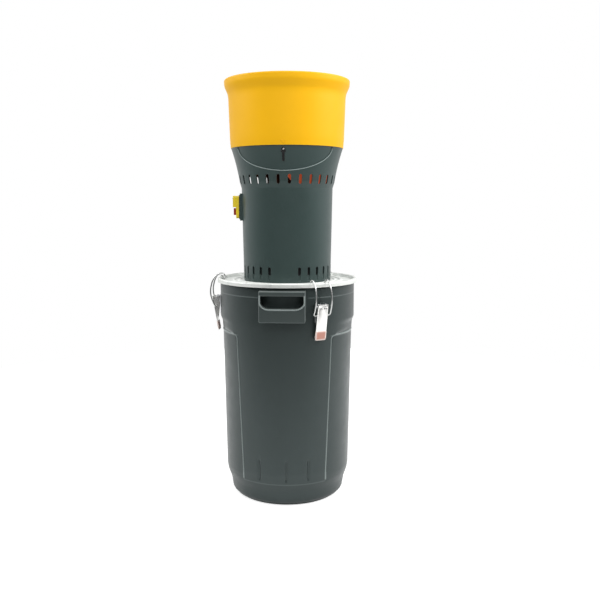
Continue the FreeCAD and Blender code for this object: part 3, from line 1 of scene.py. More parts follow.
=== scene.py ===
# %% [markdown]
# # A grain mill, finished in Blender
# The mill is an electric hammer mill on a collecting bucket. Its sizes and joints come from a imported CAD
# model, which is loaded first and never moved. Blender adds what a drawing leaves out: rounded mouldings,
# bent wire, screw heads, and materials that look like plastic, zinc and steel. The camera, the floor and the
# lamps are given in metres. The pieces are worked out in millimetres, and MM turns them into metres.

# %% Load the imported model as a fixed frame
import json
from math import acos, cos, hypot, inf, pi, radians, sin, sqrt

import bmesh
import bpy
from mathutils import Matrix, Vector


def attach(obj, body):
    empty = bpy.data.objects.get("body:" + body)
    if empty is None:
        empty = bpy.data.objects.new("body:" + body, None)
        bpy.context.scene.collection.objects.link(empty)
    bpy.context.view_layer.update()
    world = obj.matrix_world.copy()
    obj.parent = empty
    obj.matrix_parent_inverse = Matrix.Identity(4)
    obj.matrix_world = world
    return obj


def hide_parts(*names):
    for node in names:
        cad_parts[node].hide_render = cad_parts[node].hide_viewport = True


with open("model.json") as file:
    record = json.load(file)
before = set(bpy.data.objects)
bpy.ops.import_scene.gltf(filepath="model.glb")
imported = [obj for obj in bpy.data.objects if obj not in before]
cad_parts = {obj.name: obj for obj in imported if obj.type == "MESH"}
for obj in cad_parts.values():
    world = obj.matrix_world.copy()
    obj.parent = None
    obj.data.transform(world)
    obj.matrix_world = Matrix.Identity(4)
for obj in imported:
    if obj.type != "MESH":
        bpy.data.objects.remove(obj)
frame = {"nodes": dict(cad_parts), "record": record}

MM = 0.001
scene = bpy.context.scene
nodes = frame["nodes"]
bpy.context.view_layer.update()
for plain in bpy.data.materials:
    plain.name = "plain_" + plain.name


def placed(name, data):
    """A new object in the scene."""
    thing = bpy.data.objects.new(name, data)
    scene.collection.objects.link(thing)
    return thing


def editable(*meshes):
    """One editable shape of all the given meshes."""
    shape = bmesh.new()
    for mesh in meshes:
        shape.from_mesh(mesh)
    return shape


def as_mesh(shape):
    """An editable shape turned into a plain mesh."""
    mesh = bpy.data.meshes.new("shape")
    shape.to_mesh(mesh)
    shape.free()
    return mesh


# %% [markdown]
# ## Camera and light
# The photograph was taken from a little above the lid, about 1.7 m away, with a longish lens. The camera
# stands about three degrees to the right of the front handle. It could be placed by eye, but a fit to the
# ellipses of the lid and the hopper gives its place directly.

# %% Camera
CAMERA_TURN = radians(2.9)
CAMERA_DISTANCE = 1.6813
CAMERA_SHIFTED = 0.0283
CAMERA_HEIGHT = 0.6487
CAMERA_PITCH = radians(7.28)
CAMERA_LENS = 45.2
SENSOR_WIDTH = 36.0
towards_camera = Vector((sin(CAMERA_TURN), -cos(CAMERA_TURN), 0))
camera_right = Vector((cos(CAMERA_TURN), sin(CAMERA_TURN), 0))
camera_data = bpy.data.cameras.new("camera")
camera_data.lens = CAMERA_LENS
camera_data.sensor_width = SENSOR_WIDTH
camera = placed("camera", camera_data)
camera.location = towards_camera * CAMERA_DISTANCE + camera_right * CAMERA_SHIFTED
camera.location.z = CAMERA_HEIGHT
camera.rotation_euler = (pi / 2 - CAMERA_PITCH, 0, CAMERA_TURN)
scene.camera = camera
scene.view_settings.view_transform = "Standard"
print("camera at", [round(x, 3) for x in camera.location])

# %% [markdown]
# ## Writing shader maths as expressions
# A material in Blender is a graph of nodes. Adding and linking every node by hand is long to write and hard
# to read, so one small class wraps an output socket. Ordinary operators on it add Math nodes, and one method
# adds any other node.

# %% The socket class
def add_node(tree, kind, sockets, **settings):
    """A new node of any tree. A socket takes a Field, another node's output or a plain value."""
    made = tree.nodes.new(kind)
    for key, value in settings.items():
        setattr(made, key, value)
    for key, value in (sockets or {}).items():
        source = value.socket if isinstance(value, Field) else value
        if isinstance(source, bpy.types.NodeSocket):
            tree.links.new(source, made.inputs[key])
        else:
            made.inputs[key].default_value = source
    return made


class Field:
    """A value that varies over a surface: an output socket that takes part in expressions."""

    def __init__(self, tree, socket=None):
        self.tree = tree
        self.socket = socket

    def node(self, kind, sockets=None, out=0, **settings):
        made = add_node(self.tree, "ShaderNode" + kind, sockets, **settings)
        return Field(self.tree, made.outputs[out])

    def math(self, operation, *values):
        return self.node("Math", dict(enumerate(values)), operation=operation)

    def __add__(self, other):
        return self.math("ADD", self, other)

    __radd__ = __add__

    def __sub__(self, other):
        return self.math("SUBTRACT", self, other)

    def __rsub__(self, other):
        return self.math("SUBTRACT", other, self)

    def __mul__(self, other):
        return self.math("MULTIPLY", self, other)

    __rmul__ = __mul__

    def between(self, low, high):
        """0 below low, 1 above high, and a smooth rise in between."""
        sockets = {"Value": self, "From Min": low, "From Max": high}
        return self.node("MapRange", sockets, interpolation_type="SMOOTHSTEP")


print("expressions on sockets are ready")

# %% [markdown]
# ## The parts that every finish shares
# Real surfaces are never one flat colour. Broad noise shifts the tone a little, fine noise gives the grain,
# and edges are a little paler: partly wear where hands and sacks rub them, partly a painted highlight where
# an edge catches the light. An edge is found by comparing the surface's own normal with a rounded one from
# the Bevel node. The rounded normal also takes the sharpness off every corner.

# %% Colour and surface helpers
def rgb(red, green, blue):
    """A colour as a screen shows it, 0 to 255, turned into the linear values that Blender works in."""
    values = []
    for level in (red, green, blue):
        level = level / 255
        values.append(level / 12.92 if level <= 0.04045 else ((level + 0.055) / 1.055) ** 2.4)
    return (*values, 1.0)


def start_material(name):
    """A new material with an empty tree, given as a Field to build on."""
    material = bpy.data.materials.new(name)
    material.use_nodes = True
    material.node_tree.nodes.clear()
    return Field(material.node_tree)


def set_surface(field, kind="Material"):
    """Joins a finished shader to the output of its tree."""
    add_node(field.tree, "ShaderNodeOutput" + kind, {"Surface": field})


def end_material(field, sockets, constants):
    """Adds the Principled shader and the output. Constants go straight onto the shader's own sockets."""
    set_surface(field.node("BsdfPrincipled", {**constants, **sockets}))


def place_on(field, scale=(1, 1, 1)):
    """Object coordinates, stretched by a scale."""
    here = field.node("TexCoord", out="Object")
    return field.node("Mapping", {"Vector": here, "Scale": scale})


def noise(field, place, scale, detail):
    return field.node("TexNoise", {"Vector": place, "Scale": scale, "Detail": detail})


def mixed(field, factor, first, second):
    """Two colours mixed by a field."""
    return field.node("Mix", {0: factor, 6: first, 7: second}, 2, data_type="RGBA")


def edge_wear_and_highlight(field, radius):
    """The rounded normal, and how close the surface is to an edge, which finishes make paler as wear and as
    painted highlight.
    """
    rounded = field.node("Bevel", {"Radius": radius}, samples=6)
    plain = field.node("NewGeometry", out="Normal")
    same = field.node("VectorMath", {0: rounded, 1: plain}, "Value", operation="DOT_PRODUCT")
    return rounded, (1 - same).between(0.01, 0.25)


def bumped(field, height, distance, strength, normal):
    sockets = {"Height": height, "Distance": distance, "Strength": strength, "Normal": normal}
    return field.node("Bump", sockets)


print("white is", rgb(255, 255, 255))

# %% [markdown]
# ## Moulded plastic
# The hopper, the casing and the bucket are moulded in one colour all through. The tool leaves a fine grain,
# and the melt leaves broad, faint changes of tone and gloss. Long use leaves short scuffs. Edges are paler,
# partly rubbed wear and partly a painted highlight where a rounded edge catches the light. The feed cup also
# glows a little: a painted glow that brightens it as if light came in through the vents.

# %% Moulded plastic
MOULD_EDGE = 0.0007
COOL = (0.85, 1.0, 1.0, 1.0)
NEUTRAL = (1.0, 1.0, 1.0, 1.0)


def moulded(name, colour, paler, rough, grain, gloss=0.0, tone=0.12, wear_and_highlight_amount=0.35, shine=0.5,
            tint=NEUTRAL, glow=0.0):
    colour, paler = rgb(*colour), rgb(*paler)
    field = start_material(name)
    here = place_on(field)
    broad = noise(field, here, 7.0, 3.0)
    cloud = noise(field, here, 46.0, 4.0)
    fine = noise(field, here, 1500.0, 1.0)
    streaks = noise(field, place_on(field, (60, 60, 900)), 1.0, 2.0)
    scuffs = streaks.between(0.66, 0.78) * cloud.between(0.5, 0.7)
    rounded, edges = edge_wear_and_highlight(field, MOULD_EDGE)
    deep = tuple(0.82 * level for level in colour[:3]) + (1.0,)
    base = mixed(field, (broad * 0.7 + cloud * 0.3).between(0.3, 0.7) * tone * 2, colour, deep)
    # The stored attribute paints beads, raised lines and handle edges paler as a painted highlight. On buttons
    # and sleeves it gives paler marks and rims.
    rubbed = field.node("Attribute", out="Fac", attribute_name="rubbed")
    # Edges are made paler by wear and by painted highlight. Scuffs are paler by wear.
    base = mixed(field, edges * wear_and_highlight_amount * (0.5 + cloud) + scuffs * wear_and_highlight_amount * 0.1 + rubbed * 0.9, base, paler)
    roughness = rough + (cloud - 0.5) * 0.16 + scuffs * 0.1 + (fine - 0.5) * 0.06
    normal = bumped(field, fine, 0.0002, grain, rounded)
    sockets = {"Base Color": base, "Roughness": roughness, "Normal": normal}
    constants = {"Specular IOR Level": shine, "Specular Tint": tint, "Coat Weight": gloss,
                 "Coat Roughness": 0.25, "Emission Color": colour, "Emission Strength": glow}
    end_material(field, sockets, constants)


moulded("hopper_yellow", (240, 180, 0), (250, 208, 66), 0.5, 0.12, tone=0.1, wear_and_highlight_amount=0.12, shine=0.25)
moulded("casing_grey", (48, 62, 60), (136, 148, 146), 0.4, 0.22, tint=COOL)
moulded("bucket_slate", (34, 41, 40), (136, 145, 143), 0.38, 0.3, shine=0.58, tint=COOL)
moulded("switch_yellow", (228, 202, 34), (240, 224, 120), 0.36, 0.1, gloss=0.2, tone=0.08)
moulded("switch_black", (38, 40, 39), (84, 87, 85), 0.5, 0.3)
moulded("button_red", (150, 30, 14), (232, 214, 208), 0.34, 0.05, gloss=0.3, tone=0.1, wear_and_highlight_amount=0.08)
moulded("button_green", (24, 118, 50), (214, 230, 218), 0.34, 0.05, gloss=0.3, tone=0.1, wear_and_highlight_amount=0.08)
# The feed cup's glow is painted light: it brightens the cup inside the casing, which the lamps reach only
# through the vents.
moulded("feed_red", (246, 108, 66), (240, 140, 110), 0.45, 0.2, glow=0.3)
moulded("tip_salmon", (196, 140, 125), (238, 224, 217), 0.5, 0.3, tone=0.15, wear_and_highlight_amount=0.3)
moulded("knob_black", (18, 18, 19), (70, 70, 72), 0.42, 0.15, shine=0.3)
moulded("brush_holder_brown", (88, 58, 40), (130, 100, 80), 0.5, 0.3)
moulded("fan_plastic", (86, 88, 90), (130, 132, 134), 0.5, 0.3)
moulded("brush_carbon", (40, 40, 42), (80, 80, 82), 0.6, 0.5)
moulded("seal_rubber", (34, 34, 34), (60, 60, 60), 0.7, 0.5, tone=0.2, wear_and_highlight_amount=0.1)
print("plastic finishes are ready")

# %% [markdown]
# ## Sheet, wire and turned metal
# Rolled or drawn metal has fine lines along one direction, and its gloss changes along them. Noise stretched
# along that direction gives the lines. Zinc sheet also has pale flower-like grains, which a Voronoi pattern
# gives. Its oxide is dull and pale, so the lid is only partly metallic.

# %% Metals
METAL_EDGE = 0.0004
FLAT_LINES = (30, 700, 700)
UPRIGHT_LINES = (700, 700, 20)


def drawn_metal(name, colour, darker, rough, along=UPRIGHT_LINES, grain=0.12, spangle=0.0, stain=0.15,
                metal=1.0):
    field = start_material(name)
    here = place_on(field)
    lines = noise(field, place_on(field, along), 1.0, 2.0)
    cloud = noise(field, here, 38.0, 3.0)
    rounded, edges = edge_wear_and_highlight(field, METAL_EDGE)
    flowers = field.node("TexVoronoi", {"Vector": here, "Scale": 85.0}, "Color")
    flower = field.node("SeparateColor", {0: flowers})
    shade = (lines - 0.5) * 0.5 + cloud.between(0.45, 0.75) * stain + (flower - 0.5) * spangle
    # Edges lean to the lighter colour, partly as wear and partly as a painted highlight.
    base = mixed(field, shade.between(0.0, 0.6) - edges * 0.2, rgb(*colour), rgb(*darker))
    roughness = rough + (lines - 0.5) * 0.14 + (cloud - 0.5) * 0.1 + (flower - 0.5) * spangle * 0.5
    normal = bumped(field, lines, 0.0001, grain, rounded)
    sockets = {"Base Color": base, "Roughness": roughness, "Normal": normal}
    end_material(field, sockets, {"Metallic": metal})


drawn_metal("lid_zinc", (226, 229, 225), (186, 191, 188), 0.42, FLAT_LINES, 0.06, 0.35, 0.1, 0.26)
drawn_metal("clasp_steel", (236, 236, 233), (190, 190, 186), 0.3, (700, 700, 25), 0.05)
drawn_metal("wire_steel", (196, 197, 196), (128, 130, 131), 0.3, (500, 500, 40), 0.1)
drawn_metal("plate_steel", (214, 216, 218), (150, 153, 156), 0.32)
drawn_metal("screw_steel", (222, 222, 220), (150, 150, 148), 0.28, (400, 400, 400))
drawn_metal("shutter_steel", (216, 218, 219), (156, 159, 161), 0.34, FLAT_LINES)
drawn_metal("shaft_steel", (204, 206, 208), (140, 143, 146), 0.26, (40, 40, 900))
drawn_metal("bearing_steel", (218, 220, 222), (160, 162, 165), 0.18)
drawn_metal("bracket_alloy", (202, 204, 206), (150, 152, 154), 0.48, (250, 250, 250), 0.4)
drawn_metal("core_iron", (112, 114, 118), (66, 68, 72), 0.5, (15, 15, 1800), 0.6)
drawn_metal("winding_copper", (196, 120, 74), (120, 62, 32), 0.34, (900, 900, 900), 0.5)
drawn_metal("commutator_copper", (206, 140, 100), (140, 84, 56), 0.24, (30, 30, 1200))
drawn_metal("screen_steel", (196, 198, 200), (132, 134, 137), 0.38)
drawn_metal("blade_steel", (172, 175, 180), (96, 98, 104), 0.32, (60, 900, 900), 0.2)
print("metal finishes are ready")

# %% [markdown]
# ## Floor, backdrop and lamps
# The mill stands before a white backdrop, in a room that is darker on the camera's side. So the curved walls
# mirror white along their two edges and stay dark in the middle, and bright metal gets its dark lines. The
# floor is a disc whose own white grows towards its rim, where it meets the white backdrop without a line. In
# the middle it is mostly lit white, so a soft shadow still shows under the bucket. Large lamps stand at both
# sides and above.

# %% White surroundings
def ray_kinds(field):
    """Two switches: 1 for the camera's own rays, and 1 for what shows in mirrors and through glass."""
    kinds = ("Is Camera Ray", "Is Glossy Ray", "Is Transmission Ray")
    straight, glossy, through = [field.node("LightPath", out=kind) for kind in kinds]
    return straight, field.math("MAXIMUM", glossy, through)


SKY_LIGHT = 0.38
ROOM_LIGHT = 0.14
WHITE = (1, 1, 1, 1)
world = bpy.data.worlds.new("studio")
world.use_nodes = True
world.node_tree.nodes.clear()
sky = Field(world.node_tree)
direction = sky.node("TexCoord", out="Object")
backward = sky.node("SeparateXYZ", {0: direction}, "Y").between(-0.5, 0.4)
upward = sky.node("SeparateXYZ", {0: direction}, "Z").between(0.3, 0.75)
backdrop = sky.math("MAXIMUM", backward, upward) * (1 - ROOM_LIGHT) + ROOM_LIGHT
straight, mirrored = ray_kinds(sky)
falling = (1 - straight) * (1 - mirrored) * SKY_LIGHT
sky_strength = sky.math("MAXIMUM", straight, mirrored * backdrop + falling)
set_surface(sky.node("Background", {"Color": WHITE, "Strength": sky_strength}), "World")
scene.world = world

FLOOR_RADIUS = 1.7
FLOOR_LEVEL = -0.0003
FLOOR_GLOW = 0.72
FLOOR_GREY = (0.62, 0.62, 0.62, 1)
disc = bmesh.new()
bmesh.ops.create_circle(disc, cap_ends=True, segments=96, radius=FLOOR_RADIUS,
                        matrix=Matrix.Translation((0, 0, FLOOR_LEVEL)))
floor = placed("floor", as_mesh(disc))
ground = start_material("floor_white")
reach = ground.node("VectorMath", {0: place_on(ground)}, "Value", operation="LENGTH")
behind = ground.node("SeparateXYZ", {0: place_on(ground)}, "Y").between(-1.0, -0.35) * 0.75 + 0.25
straight, mirrored = ray_kinds(ground)
# In mirrors the floor's own white fades out next to the bucket's foot: a painted shadow that darkens the
# foot's lower edge.
seen_with_painted_foot_shadow = ground.math("MAXIMUM", straight, mirrored * behind * reach.between(0.06, 0.2))
own = (FLOOR_GLOW + reach.between(0.35, FLOOR_RADIUS) * (1 - FLOOR_GLOW)) * seen_with_painted_foot_shadow
lit = ground.node("BsdfDiffuse", {"Color": FLOOR_GREY})
glow = ground.node("Emission", {"Color": WHITE, "Strength": own})
set_surface(ground.node("AddShader", {0: lit, 1: glow}))
floor.data.materials.append(bpy.data.materials["floor_white"])
print("floor is", 2 * FLOOR_RADIUS, "m wide")

# %% Lamps
LAMPS_AIM = Vector((0, 0, 0.5))


def lamp(name, place, power, width, height):
    data = bpy.data.lights.new(name, "AREA")
    data.shape = "RECTANGLE"
    data.size = width
    data.size_y = height
    data.energy = power
    thing = placed(name, data)
    thing.location = place
    thing.rotation_euler = (LAMPS_AIM - Vector(place)).to_track_quat("-Z", "Y").to_euler()


lamp("right_lamp", (2.2, -0.1, 1.85), 54.0, 1.7, 1.0)
lamp("left_lamp", (-2.2, 0.0, 1.85), 31.0, 1.5, 1.0)
lamp("top_lamp", (0.2, -1.6, 2.2), 32.0, 1.8, 1.4)

# %% [markdown]
# ## Giving each CAD node its finish
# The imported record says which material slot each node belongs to. The finishes above carry the slots' names,
# so one loop over the record dresses every node. Nodes that a better mesh replaces later keep theirs, out of
# sight.

# %% Dress the CAD nodes
slot_of = {part["node"]: part["material_slot"] for part in frame["record"]["subparts"]}
for name, thing in nodes.items():
    for place in thing.material_slots:
        place.material = bpy.data.materials[slot_of[name]]
print("dressed", len(slot_of), "nodes")

# %% [markdown]
# ## From lists of points to finished pieces
# A mesh is a list of points and a list of faces. Each piece below is worked out in Python, then goes through
# the same last steps: smooth shading with sharp corners kept, a finish, and the CAD body that it moves with.
# Most meshes first have their normals turned outwards.

# %% Finishing a mesh as a piece
def finished(name, mesh, slot, body="mill", replaced=(), sharp=38.0):
    """Makes a mesh one of the mill's pieces."""
    mesh.name = name
    mesh.materials.clear()
    mesh.materials.append(bpy.data.materials[slot])
    mesh.shade_smooth()
    mesh.set_sharp_from_angle(angle=radians(sharp))
    thing = placed(name, mesh)
    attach(thing, body)
    if replaced:
        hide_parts(*replaced)
    print(name, len(mesh.polygons), "faces")


def closed(shape):
    """A plain mesh with its doubles merged and its normals outwards."""
    bmesh.ops.remove_doubles(shape, verts=shape.verts, dist=1e-6)
    bmesh.ops.recalc_face_normals(shape, faces=shape.faces)
    return as_mesh(shape)


def store_pale_mark_and_highlight(mesh, marks):
    """Stores how much each point shows the paler colour of its finish: a painted highlight on beads, lines and
    handle edges, and paler marks and rims elsewhere.
    """
    mesh.attributes.new("rubbed", "FLOAT", "POINT").data.foreach_set("value", marks)
    return mesh


def mesh_of(points, faces, marks=()):
    """A closed mesh of points and faces, with marks for how much each point takes the paler colour of its
    finish.
    """
    mesh = bpy.data.meshes.new("shape")
    mesh.from_pydata(points, [], faces)
    if marks:
        store_pale_mark_and_highlight(mesh, marks)
    return closed(editable(mesh))


def ring_faces(rows, columns, first=0):
    """Quads over a closed grid of rows, each a full ring of columns, from a first point on."""
    faces = []
    for start in range(first, first + (rows - 1) * columns, columns):
        for j in range(columns):
            k = (j + 1) % columns
            faces.append((start + j, start + k, start + columns + k, start + columns + j))
    return faces


def arc(x, z, wide, tall, start, end, steps=10):
    """A part of an ellipse, as points across and up."""
    turns = [radians(start + (end - start) * k / steps) for k in range(steps + 1)]
    return [(x + wide * cos(turn), z + tall * sin(turn)) for turn in turns]


print("meshes can be made into pieces")

# %% [markdown]
# ## The bucket
# The bucket is one thin moulding. Its front and back panels stand proud of two recessed sides, and a thin
# bead runs round each recess. It could be cut from a cylinder with booleans, but then every edge would be
# sharp. Instead the wall is a grid of rings whose columns follow the panel edges, and each point's distance
# from the axis is worked out by rule, so all edges can be rounded and the bead lies exactly on the edge.

# %% Bucket sizes
PROUD = [(112, 0), (125, 9), (129, 34), (136, 53), (139.5, 75), (149, 400), (149, 477)]
RECESSED = [(137.7, 55), (143.6, 372), (145.4, 395), (149, 400.5), (149, 477)]
BUCKET_WALL = 3.0
BAND_END = 400.0
RECESS_TOP = 372.0
RECESS_END = 60.0
RECESS_CORNER = 7.0
PANEL_HALF_TOP = 102.0
PANEL_HALF_BOTTOM = 88.6
BEAD_HALF = 3.3
BEAD_HEIGHT = 0.9
HEM_LEVEL = 52.0
RING_LEVEL = 456.0
RING_HALF = 1.2
RING_DEPTH = 0.45
RING_STOPS_AT = 0.34
FLUTES = (-0.556, 0.06, 0.556)
FLUTE_LOW = 58.0
FLUTE_HIGH = 109.0
FLUTE_HALF = 0.046
FLUTE_DEPTH = 2.5
RIM_LEVEL = 475.6


def along(line, level, blur):
    """Radius on a line of (radius, level) corners, with each corner eased over a height of blur."""
    total = 0.0
    steps = 9
    for k in range(steps):
        z = level + blur * (k / (steps - 1) - 0.5)
        z = min(max(z, line[0][1]), line[-1][1])
        for (r0, z0), (r1, z1) in zip(line, line[1:]):
            if z <= z1:
                total += r0 + (r1 - r0) * (z - z0) / (z1 - z0)
                break
    return total / steps


def ease(low, high, value):
    t = min(max((value - low) / (high - low), 0.0), 1.0)
    return t * t * (3 - 2 * t)


def hump(value, width):
    """1 at 0, falling smoothly to 0 at plus and minus width."""
    return 1 - ease(0, width, abs(value))


print("front panel is", 2 * PANEL_HALF_TOP, "mm wide at the top")

# %% Bucket columns and rows
EDGE_STEPS = (0.0, 0.5, 0.9, 1.4, 2.0, 2.8, 4.0, 6.5)
FLUTE_STEPS = (0.0, 0.008, 0.015, 0.022, 0.03, 0.045)
ROW_STEPS = {
    0.0: (0, 0.6, 2, 4, 6.5, 9, 12, 18, 26, 31, 34, 37),
    HEM_LEVEL: (-10, -5, -2.5, -1, 0, 1, 2.5, 4, 5.5, 7, 9, 11, 13, 16, 20),
    FLUTE_HIGH: (-34, -30, -24, -17, -11, -8, -6, -4, -2, 1),
    RECESS_TOP: (-20, -15, -11, -8, -5, -3, -1.8, -0.8, 0, 0.8, 1.8, 3, 5, 8, 12, 16),
    BAND_END: (-8, -6, -4, -2.5, -1, 0.5, 2, 4, 10, 20, 32, 44),
    RING_LEVEL: (-3, -1.4, -0.7, 0, 0.7, 1.4, 3, 10),
    RIM_LEVEL: (0,),
}
PLAIN_LEVELS = range(120, 346, 15)


def panel_shares():
    """Places across a panel, from -1 to 1, closer together at the flutes."""
    shares = {round(-1 + 2 * k / 44, 4) for k in range(45)}
    far = {share for share in shares if min(abs(share - middle) for middle in FLUTES) > 0.05}
    for middle in FLUTES:
        far |= {round(middle + step, 4) for step in FLUTE_STEPS}
        far |= {round(middle - step, 4) for step in FLUTE_STEPS}
    return sorted(share for share in far if abs(share) < 0.93)


def bucket_columns():
    """Each column as (middle angle of its panel or side, share across it, distance in from the edge)."""
    columns = []
    for turn in range(4):
        middle = turn * pi / 2
        inner = panel_shares() if turn % 2 else [-0.9 + 1.8 * k / 30 for k in range(31)]
        columns += [(middle, -1.0, step) for step in EDGE_STEPS]
        columns += [(middle, share, 0.0) for share in inner]
        columns += [(middle, 1.0, -step) for step in reversed(EDGE_STEPS[1:])]
    return columns


def row_levels():
    """Heights of the rings, closer together at the wall's bends than on its plain middle."""
    at_bends = [place + step for place, steps in ROW_STEPS.items() for step in steps]
    return sorted([*at_bends, *PLAIN_LEVELS])


print("bucket wall has", len(row_levels()), "rows of", len(bucket_columns()), "points")

# %% Bucket wall
def over_corner(level, most=1.0):
    """How far a level reaches up into the recess's rounded corner, as a share of its radius."""
    return min(max((level - RECESS_TOP) / RECESS_CORNER + 1, 0.0), most)


def panel_half(level):
    """Half width of the proud panel, with its rounded upper corners."""
    share = (level - RECESS_END) / (BAND_END - RECESS_END)
    half = PANEL_HALF_BOTTOM + (PANEL_HALF_TOP - PANEL_HALF_BOTTOM) * min(max(share, 0.0), 1.05)
    return half + RECESS_CORNER * (1 - sqrt(1 - over_corner(level) ** 2))


def bucket_point(column, level):
    """One point of the outside, as x, y and how much its place takes the paler colour, as painted highlight on
    beads, ring and hem.
    """
    middle, share, step = column
    on_side = abs(sin(middle)) < 0.5
    on_front = sin(middle) < -0.5
    proud = along(PROUD, level, 7.0 if level < 90 else 16.0)
    deep = min(along(RECESSED, level, 7.0), proud)
    side = acos(min(panel_half(level) / proud, 0.985))
    reach = side if on_side else pi / 2 - side
    angle = share * reach + step / proud
    inside = (reach - abs(angle)) * proud
    in_recess = inside if on_side else -inside
    spread = 2.2 + 70.0 * ease(RECESS_TOP, RECESS_TOP + 9, level)
    sunk = ease(-0.6, spread, in_recess) * ease(RECESS_END - 6, RECESS_END + 4, level)
    lean = sqrt(1 - over_corner(level, 0.98) ** 2)
    edge_bead = hump((in_recess + 0.2) * lean, BEAD_HALF) * ease(HEM_LEVEL, RECESS_END - 2, level)
    edge_bead *= 1 - ease(RECESS_TOP - 1, RECESS_TOP + 3, level)
    top_bead = hump(level - RECESS_TOP - 0.5, 3.2) * ease(-1.5, 2.0, in_recess)
    bead = max(edge_bead, top_bead)
    ring = hump(level - RING_LEVEL, RING_HALF) if on_side or abs(angle) >= RING_STOPS_AT else 0.0
    hem = 0.0 if on_side else hump(level - HEM_LEVEL, 2.0)
    flute = 0.0
    if on_front:
        flute = hump(min(abs(share - place) for place in FLUTES), FLUTE_HALF)
        flute *= ease(FLUTE_LOW, FLUTE_LOW + 6, level) * (1 - ease(FLUTE_HIGH - 6, FLUTE_HIGH, level))
    radius = proud + (deep - proud) * sunk + BEAD_HEIGHT * bead - FLUTE_DEPTH * flute - RING_DEPTH * ring
    turn = middle + angle
    # Painted highlight: the beads, the ring groove and the hem line take the paler colour.
    return radius * cos(turn), radius * sin(turn), max(bead, 0.3 * ring, 0.2 * hem)


RIM_ROWS = [(0.9975, 476.3), (0.9938, 476.5), (0.9866, 476.5), (0.9829, 476.3), (0.98, 475.6), (0.98, 440.0),
            (0.98, 405.0)]
INSIDE_LEVELS = (372, 330, 250, 150, 75, 40, 12)
FLOOR_ROWS = [(0.8, 4.0), (0.77, 3.0), (0.02, 3.0)]
UNDER_ROWS = [(0.7, 0.0), (0.68, 1.2), (0.02, 1.2)]


def scaled(ring, rows):
    """Copies of a ring of points, each at its own scale and level."""
    return [(x * scale, y * scale, level * MM) for scale, level in rows for x, y, z in ring]


def bucket_mesh():
    """Up the outside, over the rim, down the inside and across the floor, then in along the underside."""
    columns = bucket_columns()
    count = len(columns)
    points, marks = [], []
    for level in row_levels():
        for column in columns:
            x, y, rubbed = bucket_point(column, level)
            points.append((x * MM, y * MM, level * MM))
            marks.append(rubbed)
    rim = points[-count:]
    points += scaled(rim, RIM_ROWS)
    for level in INSIDE_LEVELS:
        for column in columns:
            x, y, rubbed = bucket_point(column, level)
            shrink = (1 - BUCKET_WALL / hypot(x, y)) * MM
            points.append((x * shrink, y * shrink, level * MM))
    points += scaled(rim, FLOOR_ROWS)
    under = len(points)
    faces = ring_faces(under // count, count) + [tuple(range(under - count, under))]
    points += scaled(rim, UNDER_ROWS)
    faces += [(j, under + j, under + (j + 1) % count, (j + 1) % count) for j in range(count)]
    faces += ring_faces(len(UNDER_ROWS), count, under) + [tuple(range(len(points) - count, len(points)))]
    return mesh_of(points, faces, marks + [0.0] * (len(points) - len(marks)))


finished("bucket_shell", bucket_mesh(), "bucket_slate", replaced=["bucket"], sharp=50)

# %% [markdown]
# ## Geometry Nodes built in Python
# Wires, beads and screws repeat or follow a path, which is what Geometry Nodes are good at. A tree is built
# once, with named inputs for its sizes. It runs on a mesh of plain points or edges, and the result is kept as
# an ordinary mesh.

# %% Helpers for trees
def new_tree(name, inputs):
    """An empty tree with inputs for geometry, a finish and some named values, and a geometry output."""
    tree = bpy.data.node_groups.new(name, "GeometryNodeTree")
    for label, kind in [("Geometry", "Geometry")] + inputs + [("Finish", "Material")]:
        tree.interface.new_socket(label, in_out="INPUT", socket_type="NodeSocket" + kind)
    tree.interface.new_socket("Geometry", in_out="OUTPUT", socket_type="NodeSocketGeometry")
    return tree, tree.nodes.new("NodeGroupInput").outputs


def add_step(tree, kind, sockets=None, out=0, **settings):
    """One node of a tree, given as one of its outputs."""
    return add_node(tree, kind, sockets, **settings).outputs[out]


def end_tree(tree, geometry, given):
    """The last steps of every tree: real geometry, in its finish."""
    real = add_step(tree, "GeometryNodeRealizeInstances", {"Geometry": geometry})
    dressed = add_step(tree, "GeometryNodeSetMaterial", {"Geometry": real, "Material": given["Finish"]})
    add_node(tree, "NodeGroupOutput", {0: dressed})
    print(tree.name, "has", len(tree.nodes), "nodes")


def result_of(thing, cutters=()):
    """The mesh of an object as its modifiers make it. The object and its cutters are then removed."""
    mesh = bpy.data.meshes.new_from_object(thing.evaluated_get(bpy.context.evaluated_depsgraph_get()))
    thing.modifiers.clear()
    for used in (thing, *cutters):
        bpy.data.objects.remove(used)
    return mesh


def run_tree(tree, slot, values, points, edges=(), outward=()):
    """Runs a tree on points and edges, and gives its result as a plain mesh."""
    values["Finish"] = bpy.data.materials[slot]
    seed_mesh = bpy.data.meshes.new("seed")
    seed_mesh.from_pydata(points, edges, [])
    if outward:
        stored = seed_mesh.attributes.new("outward", "FLOAT_VECTOR", "POINT")
        stored.data.foreach_set("vector", [number for way in outward for number in way])
    thing = placed("seed", seed_mesh)
    modifier = thing.modifiers.new("tree", "NODES")
    modifier.node_group = tree
    for item in tree.interface.items_tree:
        if item.in_out == "INPUT" and item.name in values:
            modifier[item.identifier] = values[item.name]
    return result_of(thing)


print("trees can be built and run")

